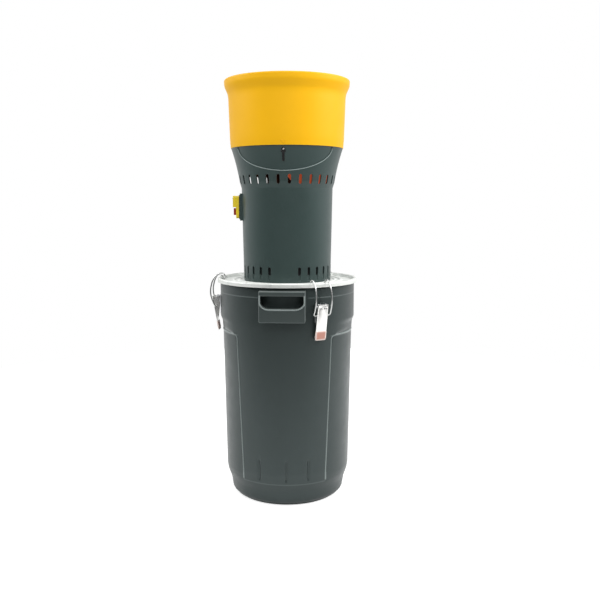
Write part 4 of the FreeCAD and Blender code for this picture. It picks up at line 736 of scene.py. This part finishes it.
# %% Tree: a round rod along a path
inputs = [("Thickness", "Float"), ("Sides", "Int"), ("Steps", "Int"), ("Rubbed", "Float")]
rod_tree, given = new_tree("rod_along_path", inputs)
path = add_step(rod_tree, "GeometryNodeMeshToCurve", {"Mesh": given["Geometry"]})
path = add_step(rod_tree, "GeometryNodeCurveSplineType", {"Curve": path}, spline_type="BEZIER")
path = add_step(rod_tree, "GeometryNodeCurveSetHandles", {"Curve": path}, handle_type="AUTO")
path = {"Geometry": path, "Resolution": given["Steps"]}
path = add_step(rod_tree, "GeometryNodeSetSplineResolution", path)
section = {"Resolution": given["Sides"], "Radius": given["Thickness"]}
section = add_step(rod_tree, "GeometryNodeCurvePrimitiveCircle", section)
swept = {"Curve": path, "Profile Curve": section, "Fill Caps": True}
swept = add_step(rod_tree, "GeometryNodeCurveToMesh", swept)
swept = {"Geometry": swept, "Name": "rubbed", "Value": given["Rubbed"]}
swept = add_step(rod_tree, "GeometryNodeStoreNamedAttribute", swept, data_type="FLOAT", domain="POINT")
end_tree(rod_tree, swept, given)


def rod(points, thickness, slot, sides=14, steps=6, rubbed=0.0):
    """Round rod through points in millimetres."""
    edges = [(i, i + 1) for i in range(len(points) - 1)]
    values = {"Thickness": thickness * MM, "Sides": sides, "Steps": steps, "Rubbed": rubbed}
    return run_tree(rod_tree, slot, values, [Vector(point) * MM for point in points], edges)


# %% [markdown]
# ## The bucket's handles
# Each handle is a hollow box moulded onto the bucket: a front plate with a finger opening, a grip bar above,
# a pocket behind the opening and an apron below. A thick lip runs round the opening. The box could be cut out
# of a block, but a flat outline with a hole is simpler: it is carried back to the bucket with softened front
# edges, and the points at its back are moved onto the curved wall. The lip is a rod. The block is painted a
# little paler all over, its front edges paler still and the lip in the full paler colour, as painted
# highlight.

# %% Handle outlines
HANDLE_HALF = 47.5
HANDLE_TOP = 472.0
HANDLE_BOTTOM = 408.0
HANDLE_CORNER = 3.2
HANDLE_FACE = -171.0
HANDLE_DEPTH = 30.0
HANDLE_SOFT = 1.2
OPENING_HALF = 44.5
OPENING_TOP = 463.0
OPENING_BOTTOM = 436.0
OPENING_CORNER = 19.0
OPENING_RISE = 13.5
LIP_OUT = 1.2
LIP_THICK = 1.5
SEAT_RADIUS = 147.6


def cup(half, bottom, top, wide, tall):
    """Outline with rounded lower corners, from the upper left round to the upper right."""
    left = arc(-half + wide, bottom + tall, wide, tall, 180, 270)
    right = arc(half - wide, bottom + tall, wide, tall, 270, 360)
    return [(-half, top)] + left + right + [(half, top)]


def carried_back(loops):
    """Flat loops, the inner one a hole, carried from the handle's face back to the bucket's wall."""
    flat = bpy.data.curves.new("outline", "CURVE")
    flat.dimensions = "2D"
    flat.fill_mode = "BOTH"
    flat.extrude = HANDLE_DEPTH / 2 * MM
    flat.bevel_depth = HANDLE_SOFT * MM
    flat.bevel_resolution = 3
    flat.offset = -HANDLE_SOFT * MM
    for loop in loops:
        spline = flat.splines.new("POLY")
        spline.points.add(len(loop) - 1)
        spline.use_cyclic_u = True
        for point, (x, z) in zip(spline.points, loop):
            point.co = (x * MM, z * MM, 0, 1)
    shape = editable(result_of(placed("outline", flat)))
    for vert in shape.verts:
        x, z, out = [number / MM for number in vert.co]
        back = -sqrt(SEAT_RADIUS ** 2 - x ** 2)
        y = back if out < 0 else HANDLE_FACE + HANDLE_SOFT + HANDLE_DEPTH / 2 - out
        vert.co = (x * MM, y * MM, z * MM)
    return closed(shape)


print("handle is", 2 * HANDLE_HALF, "mm wide")

# %% Handles
def handle_block():
    """The hollow block, a little paler all over and paler still at its front edges, as painted highlight."""
    outside = cup(HANDLE_HALF, HANDLE_BOTTOM, HANDLE_TOP, HANDLE_CORNER, HANDLE_CORNER)
    opening = cup(OPENING_HALF, OPENING_BOTTOM, OPENING_TOP, OPENING_CORNER, OPENING_RISE)
    block = carried_back([outside, opening])
    depths = [vert.co.y / MM - HANDLE_FACE for vert in block.vertices]
    # Painted highlight: 0.5 on the front edges, 0.12 on the rest of the block.
    return store_pale_mark_and_highlight(block, [0.5 if 0.05 < depth < 2.0 else 0.12 for depth in depths])


def handle_lip():
    half = OPENING_HALF + LIP_OUT
    low = OPENING_BOTTOM - LIP_OUT
    loop = cup(half, low, OPENING_TOP - 1, OPENING_CORNER + LIP_OUT, OPENING_RISE + LIP_OUT)
    loop = [(-half, OPENING_TOP + 1)] + loop + [(half, OPENING_TOP + 1)]
    # The lip takes the full paler colour as a painted highlight.
    return rod([(x, HANDLE_FACE + 0.3, z) for x, z in loop], LIP_THICK, "bucket_slate", 12, 3, 1.0)


for side, turn in (("front", 0.0), ("rear", pi)):
    block = as_mesh(editable(handle_block(), handle_lip()))
    block.transform(Matrix.Rotation(turn, 4, "Z"))
    finished("handle_" + side, block, "bucket_slate", sharp=40)

# %% [markdown]
# ## Clasps
# Three toggle clasps hold the lid. A bent wire, the bail, hooks over the lid's rim and is pulled tight by a
# lever of pressed sheet. The wire is a rod through the points of one side and their mirror image.

# %% Bail wires
CLASPS = {"right_front": -60.0, "right_rear": 60.0, "left": 180.0}
WIRE_RADIUS = 1.5
BAIL_SIDE = [(160, 9, 420), (160, 15.8, 420), (161.2, 18.2, 421.6), (165.6, 18.7, 431), (169.3, 18.6, 442),
             (170.8, 18.4, 454), (169.4, 18.0, 467), (165.2, 17.5, 480), (159.0, 17.1, 489),
             (151.5, 17.0, 492.6), (145.6, 17.0, 490.8), (143.3, 16.8, 486.6), (143.0, 15.4, 483.5),
             (143.0, 12.0, 483.1)]
bail_path = BAIL_SIDE + [(x, -y, z) for x, y, z in reversed(BAIL_SIDE)]
for place, angle in CLASPS.items():
    wire = rod(bail_path, WIRE_RADIUS, "wire_steel", 14, 5)
    wire.transform(Matrix.Rotation(radians(angle), 4, "Z"))
    finished("wire_" + place, wire, "wire_steel", "bail_" + place, ["bail_" + place], 60)

# %% [markdown]
# ## Softened copies
# Some CAD pieces have the right shape, and only their edges are too sharp. A copy of such a mesh is merged,
# its flat faces are made whole again, and its corners are rounded by bevelling. The copy then stands for the
# node. The clasp levers also get the slits that their tongues are cut free with.

# %% Softened copies
FLAT_WITHIN = radians(0.6)
CORNER_OVER = radians(32.0)


def add_cuts(thing, cutters, operation="DIFFERENCE"):
    for cutter in cutters:
        cut = thing.modifiers.new("cut", "BOOLEAN")
        cut.object = cutter
        cut.operation = operation
        cut.solver = "EXACT"


def softened(node, width, segments=2, cutters=(), operation="DIFFERENCE"):
    """A copy of a CAD node's mesh, cut and then bevelled by a width in millimetres."""
    shape = editable(nodes[node].data)
    bmesh.ops.remove_doubles(shape, verts=shape.verts, dist=2e-6)
    bmesh.ops.dissolve_limit(shape, angle_limit=FLAT_WITHIN, verts=shape.verts, edges=shape.edges)
    thing = placed("copy", as_mesh(shape))
    add_cuts(thing, cutters, operation)
    if width:
        bevel = thing.modifiers.new("bevel", "BEVEL")
        bevel.width = width * MM
        bevel.segments = segments
        bevel.limit_method = "ANGLE"
        bevel.angle_limit = CORNER_OVER
    mesh = result_of(thing, cutters)
    if "custom_normal" in mesh.attributes:
        mesh.attributes.remove(mesh.attributes["custom_normal"])
    return mesh


def block_thing(low, high, turn=0.0):
    """A plain block in millimetres, turned about the mill's axis, used only to cut with."""
    shape = bmesh.new()
    bmesh.ops.create_cube(shape, size=1.0)
    middle = (Vector(low) + Vector(high)) / 2 * MM
    size = (Vector(high) - Vector(low)) * MM
    shape.transform(Matrix.Rotation(turn, 4, "Z") @ Matrix.Translation(middle) @ Matrix.Diagonal((*size, 1)))
    return placed("cutter", closed(shape))


SLITS = (((160, -9.5, 433.6), (180, -1.4, 435.8)), ((160, 1.4, 433.6), (180, 9.5, 435.8)),
         ((160, -6.0, 438.4), (180, 6.0, 439.8)))
for place, angle in CLASPS.items():
    cutters = [block_thing(low, high, radians(angle)) for low, high in SLITS]
    sheet = softened("lever_" + place, 0.5, 2, cutters)
    finished("lever_sheet_" + place, sheet, "clasp_steel", "lever_" + place, ["lever_" + place])

# %% [markdown]
# ## Sleeves on the lever tips
# A soft sleeve on each lever's tip keeps fingers off the sheet's edge. Its face is a dull salmon and its
# rolled rim is paler. The sleeve is a ring of points carried down the lever row by row, drawn in at both
# ends, and every point stores how near it is to the rim.

# %% Sleeves
SLEEVE_TOP = 386.4
SLEEVE_BOTTOM = 366.9
SLEEVE_HALF = 12.9
SLEEVE_THICK = 1.7
TIP_DRAWN_IN = ((4.2, 0.1), (2.8, 0.5), (1.6, 1.2), (0.8, 2.0), (0.2, 3.2), (0.0, 4.4))
LEVER_TIP = (154.25, 368.0)
LEVER_LEAN = (168.0 - 155.0) / (443.0 - 368.0)


def sleeve_section(half, thick):
    """A flat ring with rounded sides, as (across, out) points."""
    right = arc(half - thick, 0, thick, thick, -90, 90, 6)
    front = [((half - thick) * (1 - k / 5), thick) for k in range(1, 10)]
    return right + front + [(-x, -y) for x, y in right + front]


def sleeve_rows():
    """Each row as its level, half width and half thickness."""
    full = SLEEVE_HALF, SLEEVE_THICK
    top = [(SLEEVE_TOP, 11.8, 0.9), (SLEEVE_TOP - 0.1, 12.5, 1.4), (SLEEVE_TOP - 0.8, *full)]
    middle = [(SLEEVE_TOP - 2.0 - 1.5 * k, *full) for k in range(9)]
    tip = [(SLEEVE_BOTTOM + up, full[0] - less, full[1] - 0.2 * less) for up, less in TIP_DRAWN_IN]
    return top + middle + tip


def sleeve_mesh():
    points, marks = [], []
    rows = sleeve_rows()
    for z, half, thick in rows:
        middle = LEVER_TIP[0] + LEVER_LEAN * (z - LEVER_TIP[1])
        for across, out in sleeve_section(half, thick):
            points.append(((middle + out) * MM, across * MM, (z - LEVER_LEAN * out) * MM))
            rims = ease(9.0, 11.0, abs(across)), 1 - ease(368.6, 370.6, z), 0.5 * ease(383.6, 385.2, z)
            marks.append(max(rims))
    count = len(points) // len(rows)
    ends = [tuple(range(count)), tuple(range(len(points) - count, len(points)))]
    return mesh_of(points, ring_faces(len(rows), count) + ends, marks)


for place, angle in CLASPS.items():
    sleeve = sleeve_mesh()
    sleeve.transform(Matrix.Rotation(radians(angle), 4, "Z"))
    finished("sleeve_" + place, sleeve, "tip_salmon", "lever_" + place, ["lever_tip_" + place])

# %% [markdown]
# ## The starter
# The starter is a yellow frame with two buttons, on a black gasket at the casing's left. Softened copies of
# the CAD pieces stand a few millimetres too far out. Scaling them would also thin the frame's walls, so only
# the points in some layers are moved nearer to the casing: the gasket's front with the frame's back, the
# frame's lower step, and its front. The clasps' plates and the cable gland only need softening.

# %% Starter, plates and gland
GASKET_FRONT = (107.1, 108.1)
FRAME_BACK = (107.9, 109.5)
FRAME_STEP = (112.5, 117.5)
FRAME_FRONT = (118.3, 120.5)
CAP_FRONT = (118.4, 120.5)
STEP_LEVEL = 641.05
GASKET_PINCH = 3.6
STEP_PINCH = 3.8
FRONT_PINCH = 1.8


def pinched(mesh, layer, by, under=inf):
    """Moves the points of a layer, between two distances out and under a level, nearer to the casing."""
    for vert in mesh.vertices:
        if layer[0] < -vert.co.x / MM < layer[1] and vert.co.z / MM < under:
            vert.co.x += by * MM
    return mesh


frame_mesh = pinched(softened("switch_bezel", 1.4, 3), FRAME_BACK, GASKET_PINCH)
frame_mesh = pinched(frame_mesh, FRAME_STEP, STEP_PINCH, STEP_LEVEL)
frame_mesh = pinched(frame_mesh, FRAME_FRONT, FRONT_PINCH)
finished("switch_frame", frame_mesh, "switch_yellow", "mill", ["switch_bezel"])
seat_mesh = pinched(softened("switch_gasket", 0.7), GASKET_FRONT, GASKET_PINCH)
finished("switch_seat", seat_mesh, "switch_black", "mill", ["switch_gasket"])
finished("clasp_feet", softened("clasp_plates", 0.35), "plate_steel", "mill", ["clasp_plates"])
finished("lead_gland", softened("cable_gland", 0.8, 3), "switch_black", "mill", ["cable_gland"])

# %% [markdown]
# ## Push buttons
# The starter has a green button to start and a red one to stop. Their caps are softened copies, and each has
# the usual raised mark, a stroke for on and a ring for off. The marks carry the paler colour of the finish.

# %% Push buttons
ON_MARK = [(0.0, 652.5 + up) for up in (-3.4, 0.0, 3.4)]
OFF_MARK = arc(0.0, 631.5, 3.2, 3.2, 0, 360, 20)


def button_cap(node, slot, face, mark, thickness):
    """A cap with a raised mark, which is a rod through points across and up."""
    cap = pinched(softened(node, 0.9, 3), CAP_FRONT, FRONT_PINCH)
    raised = rod([(FRONT_PINCH - face, y, z) for y, z in mark], thickness, slot, 8, 2, 1.0)
    return as_mesh(editable(store_pale_mark_and_highlight(cap, [0.0] * len(cap.vertices)), raised))


start_cap = button_cap("start_button", "button_green", 119.5, ON_MARK, 0.55)
finished("start_cap", start_cap, "button_green", "start_button", ["start_button"])
stop_cap = button_cap("stop_button", "button_red", 120.0, OFF_MARK, 0.5)
finished("stop_cap", stop_cap, "button_red", "stop_button", ["stop_button"])

# %% [markdown]
# ## Screws and rivets
# The screws differ only in size. One tree puts a copy of a screw on every point, turns it outwards by a
# stored direction and gives each its own chance turn, as a person with a screwdriver would leave them. The
# rivets of the clasps go through the same tree.

# %% Tree: screws on points
screw_tree, given = new_tree("screws_on_points", [("Screw", "Object"), ("Seed", "Int")])
one = add_step(screw_tree, "GeometryNodeObjectInfo", {"Object": given["Screw"]}, "Geometry")
outward = {"Name": "outward"}
outward = add_step(screw_tree, "GeometryNodeInputNamedAttribute", outward, data_type="FLOAT_VECTOR")
aimed = add_step(screw_tree, "FunctionNodeAlignRotationToVector", {"Vector": outward}, axis="Z")
chance = {2: 0.0, 3: 2 * pi, "Seed": given["Seed"]}
chance = add_step(screw_tree, "FunctionNodeRandomValue", chance, 1, data_type="FLOAT")
spin = add_step(screw_tree, "FunctionNodeAxisAngleToRotation", {"Axis": (0, 0, 1), "Angle": chance})
aimed = {"Rotation": aimed, "Rotate By": spin}
aimed = add_step(screw_tree, "FunctionNodeRotateRotation", aimed, rotation_space="LOCAL")
copies = {"Points": given["Geometry"], "Instance": one, "Rotation": aimed}
end_tree(screw_tree, add_step(screw_tree, "GeometryNodeInstanceOnPoints", copies), given)

# %% Screws
def spun(profile, columns=32):
    """A turned mesh about Z from (radius, height) points that start and end on the axis."""
    shape = bmesh.new()
    verts = [shape.verts.new((radius * MM, 0, height * MM)) for radius, height in profile]
    edges = [shape.edges.new(pair) for pair in zip(verts, verts[1:])]
    bmesh.ops.spin(shape, geom=verts + edges, cent=(0, 0, 0), axis=(0, 0, 1), angle=2 * pi, steps=columns)
    return closed(shape)


def screw_thing(head, height, shank, length):
    """A cross-head screw that points up, with its head's underside at 0."""
    dome = arc(0, 0.45 * height, head, 0.55 * height, 90, 0, 6)
    body = [(head, 0.12 * height), (head * 0.94, 0.0), (shank, 0.0), (shank, -length + shank), (0, -length)]
    thing = placed("screw", spun(dome + body))
    wide, thin = head * 0.62, head * 0.14
    arms = [block_thing((-x, -y, 0.45 * height), (x, y, 2 * height)) for x, y in ((wide, thin), (thin, wide))]
    add_cuts(thing, arms)
    return placed("screw", result_of(thing, arms))


def rivet_thing(head, height, shank, grip):
    """A rivet that points up, with a domed head above 0 and a flat tail below its grip."""
    tail = [(shank, 0.0), (shank, -grip), (head, -grip), (head, -grip - 0.8 * height), (0, -grip - height)]
    return placed("rivet", spun(arc(0, 0, head, height, 90, 0, 6) + tail, 24))


def places_around(radius, turns, levels):
    """Places at every turn and level, and the way out at each."""
    places, ways = [], []
    for turn in turns:
        x, y = cos(radians(turn)), sin(radians(turn))
        places += [(radius * x, radius * y, level) for level in levels]
        ways += [(x, y, 0.0)] * len(levels)
    return places, ways


def put_on(name, one, places, ways, slot, node):
    """Copies of one screw or rivet on every place, as one piece that stands for a CAD node."""
    values = {"Screw": one, "Seed": 4}
    mesh = run_tree(screw_tree, slot, values, [Vector(place) * MM for place in places], outward=ways)
    bpy.data.objects.remove(one)
    finished(name, mesh, slot, "mill", [node])


HOPPER_SCREWS = (-90.0, 30.0, 150.0)
HOPPER_SCREW_LEVEL = 760.0
HOPPER_SCREW_SEAT = 116.5
SWITCH_SEATS = ((113.0 - STEP_PINCH, 622.0), (118.0, 661.0))
RIVET_LEVELS = (412.0, 426.0)
RIVET_SEAT = 151.1
places, ways = places_around(HOPPER_SCREW_SEAT, HOPPER_SCREWS, [HOPPER_SCREW_LEVEL])
put_on("hopper_screw_set", screw_thing(1.9, 1.9, 1.6, 10.4), places, ways, "screw_steel", "hopper_screws")
places = [(-seat, y, z) for seat, z in SWITCH_SEATS for y in (-16.0, 16.0)]
ways = [(-1.0, 0.0, 0.0)] * len(places)
put_on("switch_screw_set", screw_thing(2.7, 2.0, 1.5, 13.0), places, ways, "screw_steel", "switch_screws")
places, ways = places_around(RIVET_SEAT, CLASPS.values(), RIVET_LEVELS)
put_on("rivet_set", rivet_thing(3.5, 1.3, 2.0, 5.2), places, ways, "plate_steel", "clasp_rivets")

# %% [markdown]
# ## The hopper
# The hopper is a moulded bowl whose wall sweeps out into an upright rolled lip. The CAD bowl has the right
# sizes, but its lip is a plain cone. A turned wall follows one outline with eased corners. A third tree does
# the turning: it bends a flat grid so that each row becomes a ring through one point of the outline. The legs
# that take the screws are hidden in the casing, so they are cut out of the CAD mesh as they are, and a small
# raised arrow marks the front screw.

# %% Tree: an outline turned about the axis
turned_tree, given = new_tree("outline_turned", [("Rows", "Int"), ("Columns", "Int")])
rows = Field(turned_tree, given["Rows"])
columns = Field(turned_tree, given["Columns"])
sizes = {"Size X": 1.0, "Size Y": 1.0, "Vertices X": columns + 1, "Vertices Y": rows + 1}
grid = add_step(turned_tree, "GeometryNodeMeshGrid", sizes)
place = Field(turned_tree, add_step(turned_tree, "GeometryNodeInputPosition"))
across = place.node("SeparateXYZ", {0: place}, "X")
upward = place.node("SeparateXYZ", {0: place}, "Y")
row = rows.math("FLOORED_MODULO", rows.math("ROUND", (upward + 0.5) * rows), rows)
corner = {"Geometry": given["Geometry"], "Value": place, "Index": row}
corner = add_step(turned_tree, "GeometryNodeSampleIndex", corner, data_type="FLOAT_VECTOR", domain="POINT")
turning = {"Vector": corner, "Angle": (across + 0.5) * (2 * pi)}
swung = rows.node("VectorRotate", turning, rotation_type="Z_AXIS")
shaped = add_step(turned_tree, "GeometryNodeSetPosition", {"Geometry": grid, "Position": swung})
whole = add_step(turned_tree, "GeometryNodeMergeByDistance", {"Geometry": shaped, "Distance": 1e-6})
end_tree(turned_tree, whole, given)


def turned_ring(outline, columns, slot):
    """A ring about the mill's axis, from a closed loop of (radius, height) points in millimetres."""
    points = [(radius * MM, 0.0, height * MM) for radius, height in outline]
    values = {"Rows": len(points), "Columns": columns}
    return closed(editable(run_tree(turned_tree, slot, values, points)))


# %% The hopper
HOPPER_LINE = [(122.7, 768), (124.3, 784), (127.4, 874), (128.5, 883), (135.7, 899.5), (136.3, 912)]
HOPPER_INSIDE = [(130.4, 910.4), (130, 901), (125.2, 885), (121.9, 800), (120.9, 800), (120.9, 768)]
HOPPER_FOOT = 768.0
LIP_BAND = 908.0
LIP_MIDDLE = 133.35
LIP_HALF = 2.95
LIP_ROUND = 4.0
LEGS_RADIUS = 121.6
LEGS_LOW = 740.0
LEGS_HIGH = 799.0
ARROW = [(-4.5, 778.0), (4.5, 778.0), (0.0, 770.0)]


def hopper_radius(level):
    return along(HOPPER_LINE, level, 6.0)


def hopper_bowl():
    """Up the outside, over the rounded lip and down the inside."""
    levels = [HOPPER_FOOT + 4.0 * k for k in range(26)] + [LIP_BAND - 2.0 * k for k in reversed(range(20))]
    wall = [(hopper_radius(level), level) for level in levels]
    lip = arc(LIP_MIDDLE, LIP_BAND, LIP_HALF, LIP_ROUND, 15, 165)
    return turned_ring(wall + lip + HOPPER_INSIDE, 144, "hopper_yellow")


def hopper_legs():
    """The part of the CAD hopper inside a plain core."""
    profile = [(0, LEGS_LOW), (LEGS_RADIUS, LEGS_LOW), (LEGS_RADIUS, LEGS_HIGH), (0, LEGS_HIGH)]
    core = placed("core", spun(profile, 96))
    return softened("hopper", 0.0, cutters=[core], operation="INTERSECT")


def hopper_arrow():
    """A flat arrow that points down at the front screw."""
    points = []
    for out in (-1.0, 0.7):
        points += [(x * MM, -sqrt((hopper_radius(z) + out) ** 2 - x * x) * MM, z * MM) for x, z in ARROW]
    return mesh_of(points, ring_faces(2, 3) + [(0, 1, 2), (3, 4, 5)])


hopper_parts = as_mesh(editable(hopper_bowl(), hopper_legs(), hopper_arrow()))
finished("hopper_bowl", hopper_parts, "hopper_yellow", "mill", ["hopper"], 45)

# %% [markdown]
# ## Small parts of the casing
# A raised line runs in a half oval below the hopper, in the paler colour as a painted highlight. A dark washer
# lies under each hopper screw, and dark strips line the slot and notch below it: their dark is painted shade
# of these hollows. Behind the lower vents, a dark ring paints the shade inside the casing. The line is a rod
# along a path on the flare, the strips are worked out on the same curve, and the washers and the ring are
# turned.

# %% Small parts of the casing
FLARE = ((695.0, 104.0), (727.0, 110.4), (768.0, 122.0))
LINE_HALF = 100.0
LINE_DROP = 51.0
LINE_RADIUS = 0.85
STRIP_PROUD = 0.06
# Painted shade: dark strips that stand for the shade in the screw slot and notch.
SLOT_SHADE_STRIP = {"half": 2.3, "low": 736.0, "high": 754.5, "deep": 2.35}
NOTCH_SHADE_STRIP = {"half": 5.0, "low": 753.8, "high": 757.4, "deep": 1.5}
WASHER = [(2.2, 0.0), (3.9, 0.0), (3.9, 0.5), (2.2, 0.5)]
WASHER_SEAT = 116.55
# Painted shade: a dark ring behind the lower vents stands for the shade inside the casing.
VENT_SHADE_RING = [(92.0, 494.5), (92.8, 494.5), (92.8, 518.5), (92.0, 518.5)]


def flare_radius(level):
    """The flare's radius, on the curve through three known levels."""
    total = 0.0
    for z, radius in FLARE:
        part = radius
        for other, _ in FLARE:
            if other != z:
                part *= (level - other) / (z - other)
        total += part
    return total


def on_flare(x, level, out):
    """A point on the front of the flare, moved out from its surface."""
    return (x, -sqrt((flare_radius(level) + out) ** 2 - x * x), level)


def strip(half, low, high, deep, steps=6):
    """A thin strip that follows the flare, from a depth in its wall to just proud of it."""
    points = []
    for k in range(steps + 1):
        level = low + (high - low) * k / steps
        corners = [(-half, -deep), (half, -deep), (half, STRIP_PROUD), (-half, STRIP_PROUD)]
        points += [Vector(on_flare(x, level, out)) * MM for x, out in corners]
    ends = [(0, 1, 2, 3), tuple(4 * steps + k for k in range(4))]
    return mesh_of(points, ring_faces(steps + 1, 4) + ends)


def washer():
    """The dark ring under the front hopper screw, whose dark paints the shade of its pocket."""
    ring = turned_ring(WASHER, 48, "switch_black")
    seat = Matrix.Translation((0, -WASHER_SEAT * MM, HOPPER_SCREW_LEVEL * MM))
    ring.transform(seat @ Matrix.Rotation(pi / 2, 4, "X"))
    return ring


half_oval = arc(0.0, HOPPER_FOOT, LINE_HALF, LINE_DROP, -175, -5, 40)
line = [on_flare(x, level, -0.1) for x, level in half_oval]
# The raised line takes the full paler colour as a painted highlight.
finished("casing_line", rod(line, LINE_RADIUS, "casing_grey", 10, 2, 1.0), "casing_grey")
# Dark strips and washers as painted shade of the slots, notches and screw pockets.
painted_shade_parts = []
for turn in HOPPER_SCREWS:
    for mesh in (strip(**SLOT_SHADE_STRIP), strip(**NOTCH_SHADE_STRIP), washer()):
        mesh.transform(Matrix.Rotation(radians(turn + 90.0), 4, "Z"))
        painted_shade_parts.append(mesh)
finished("screw_wells", as_mesh(editable(*painted_shade_parts)), "knob_black")
# The dark ring behind the lower vents is painted shade.
finished("dust_gauze", turned_ring(VENT_SHADE_RING, 128, "knob_black"), "knob_black")
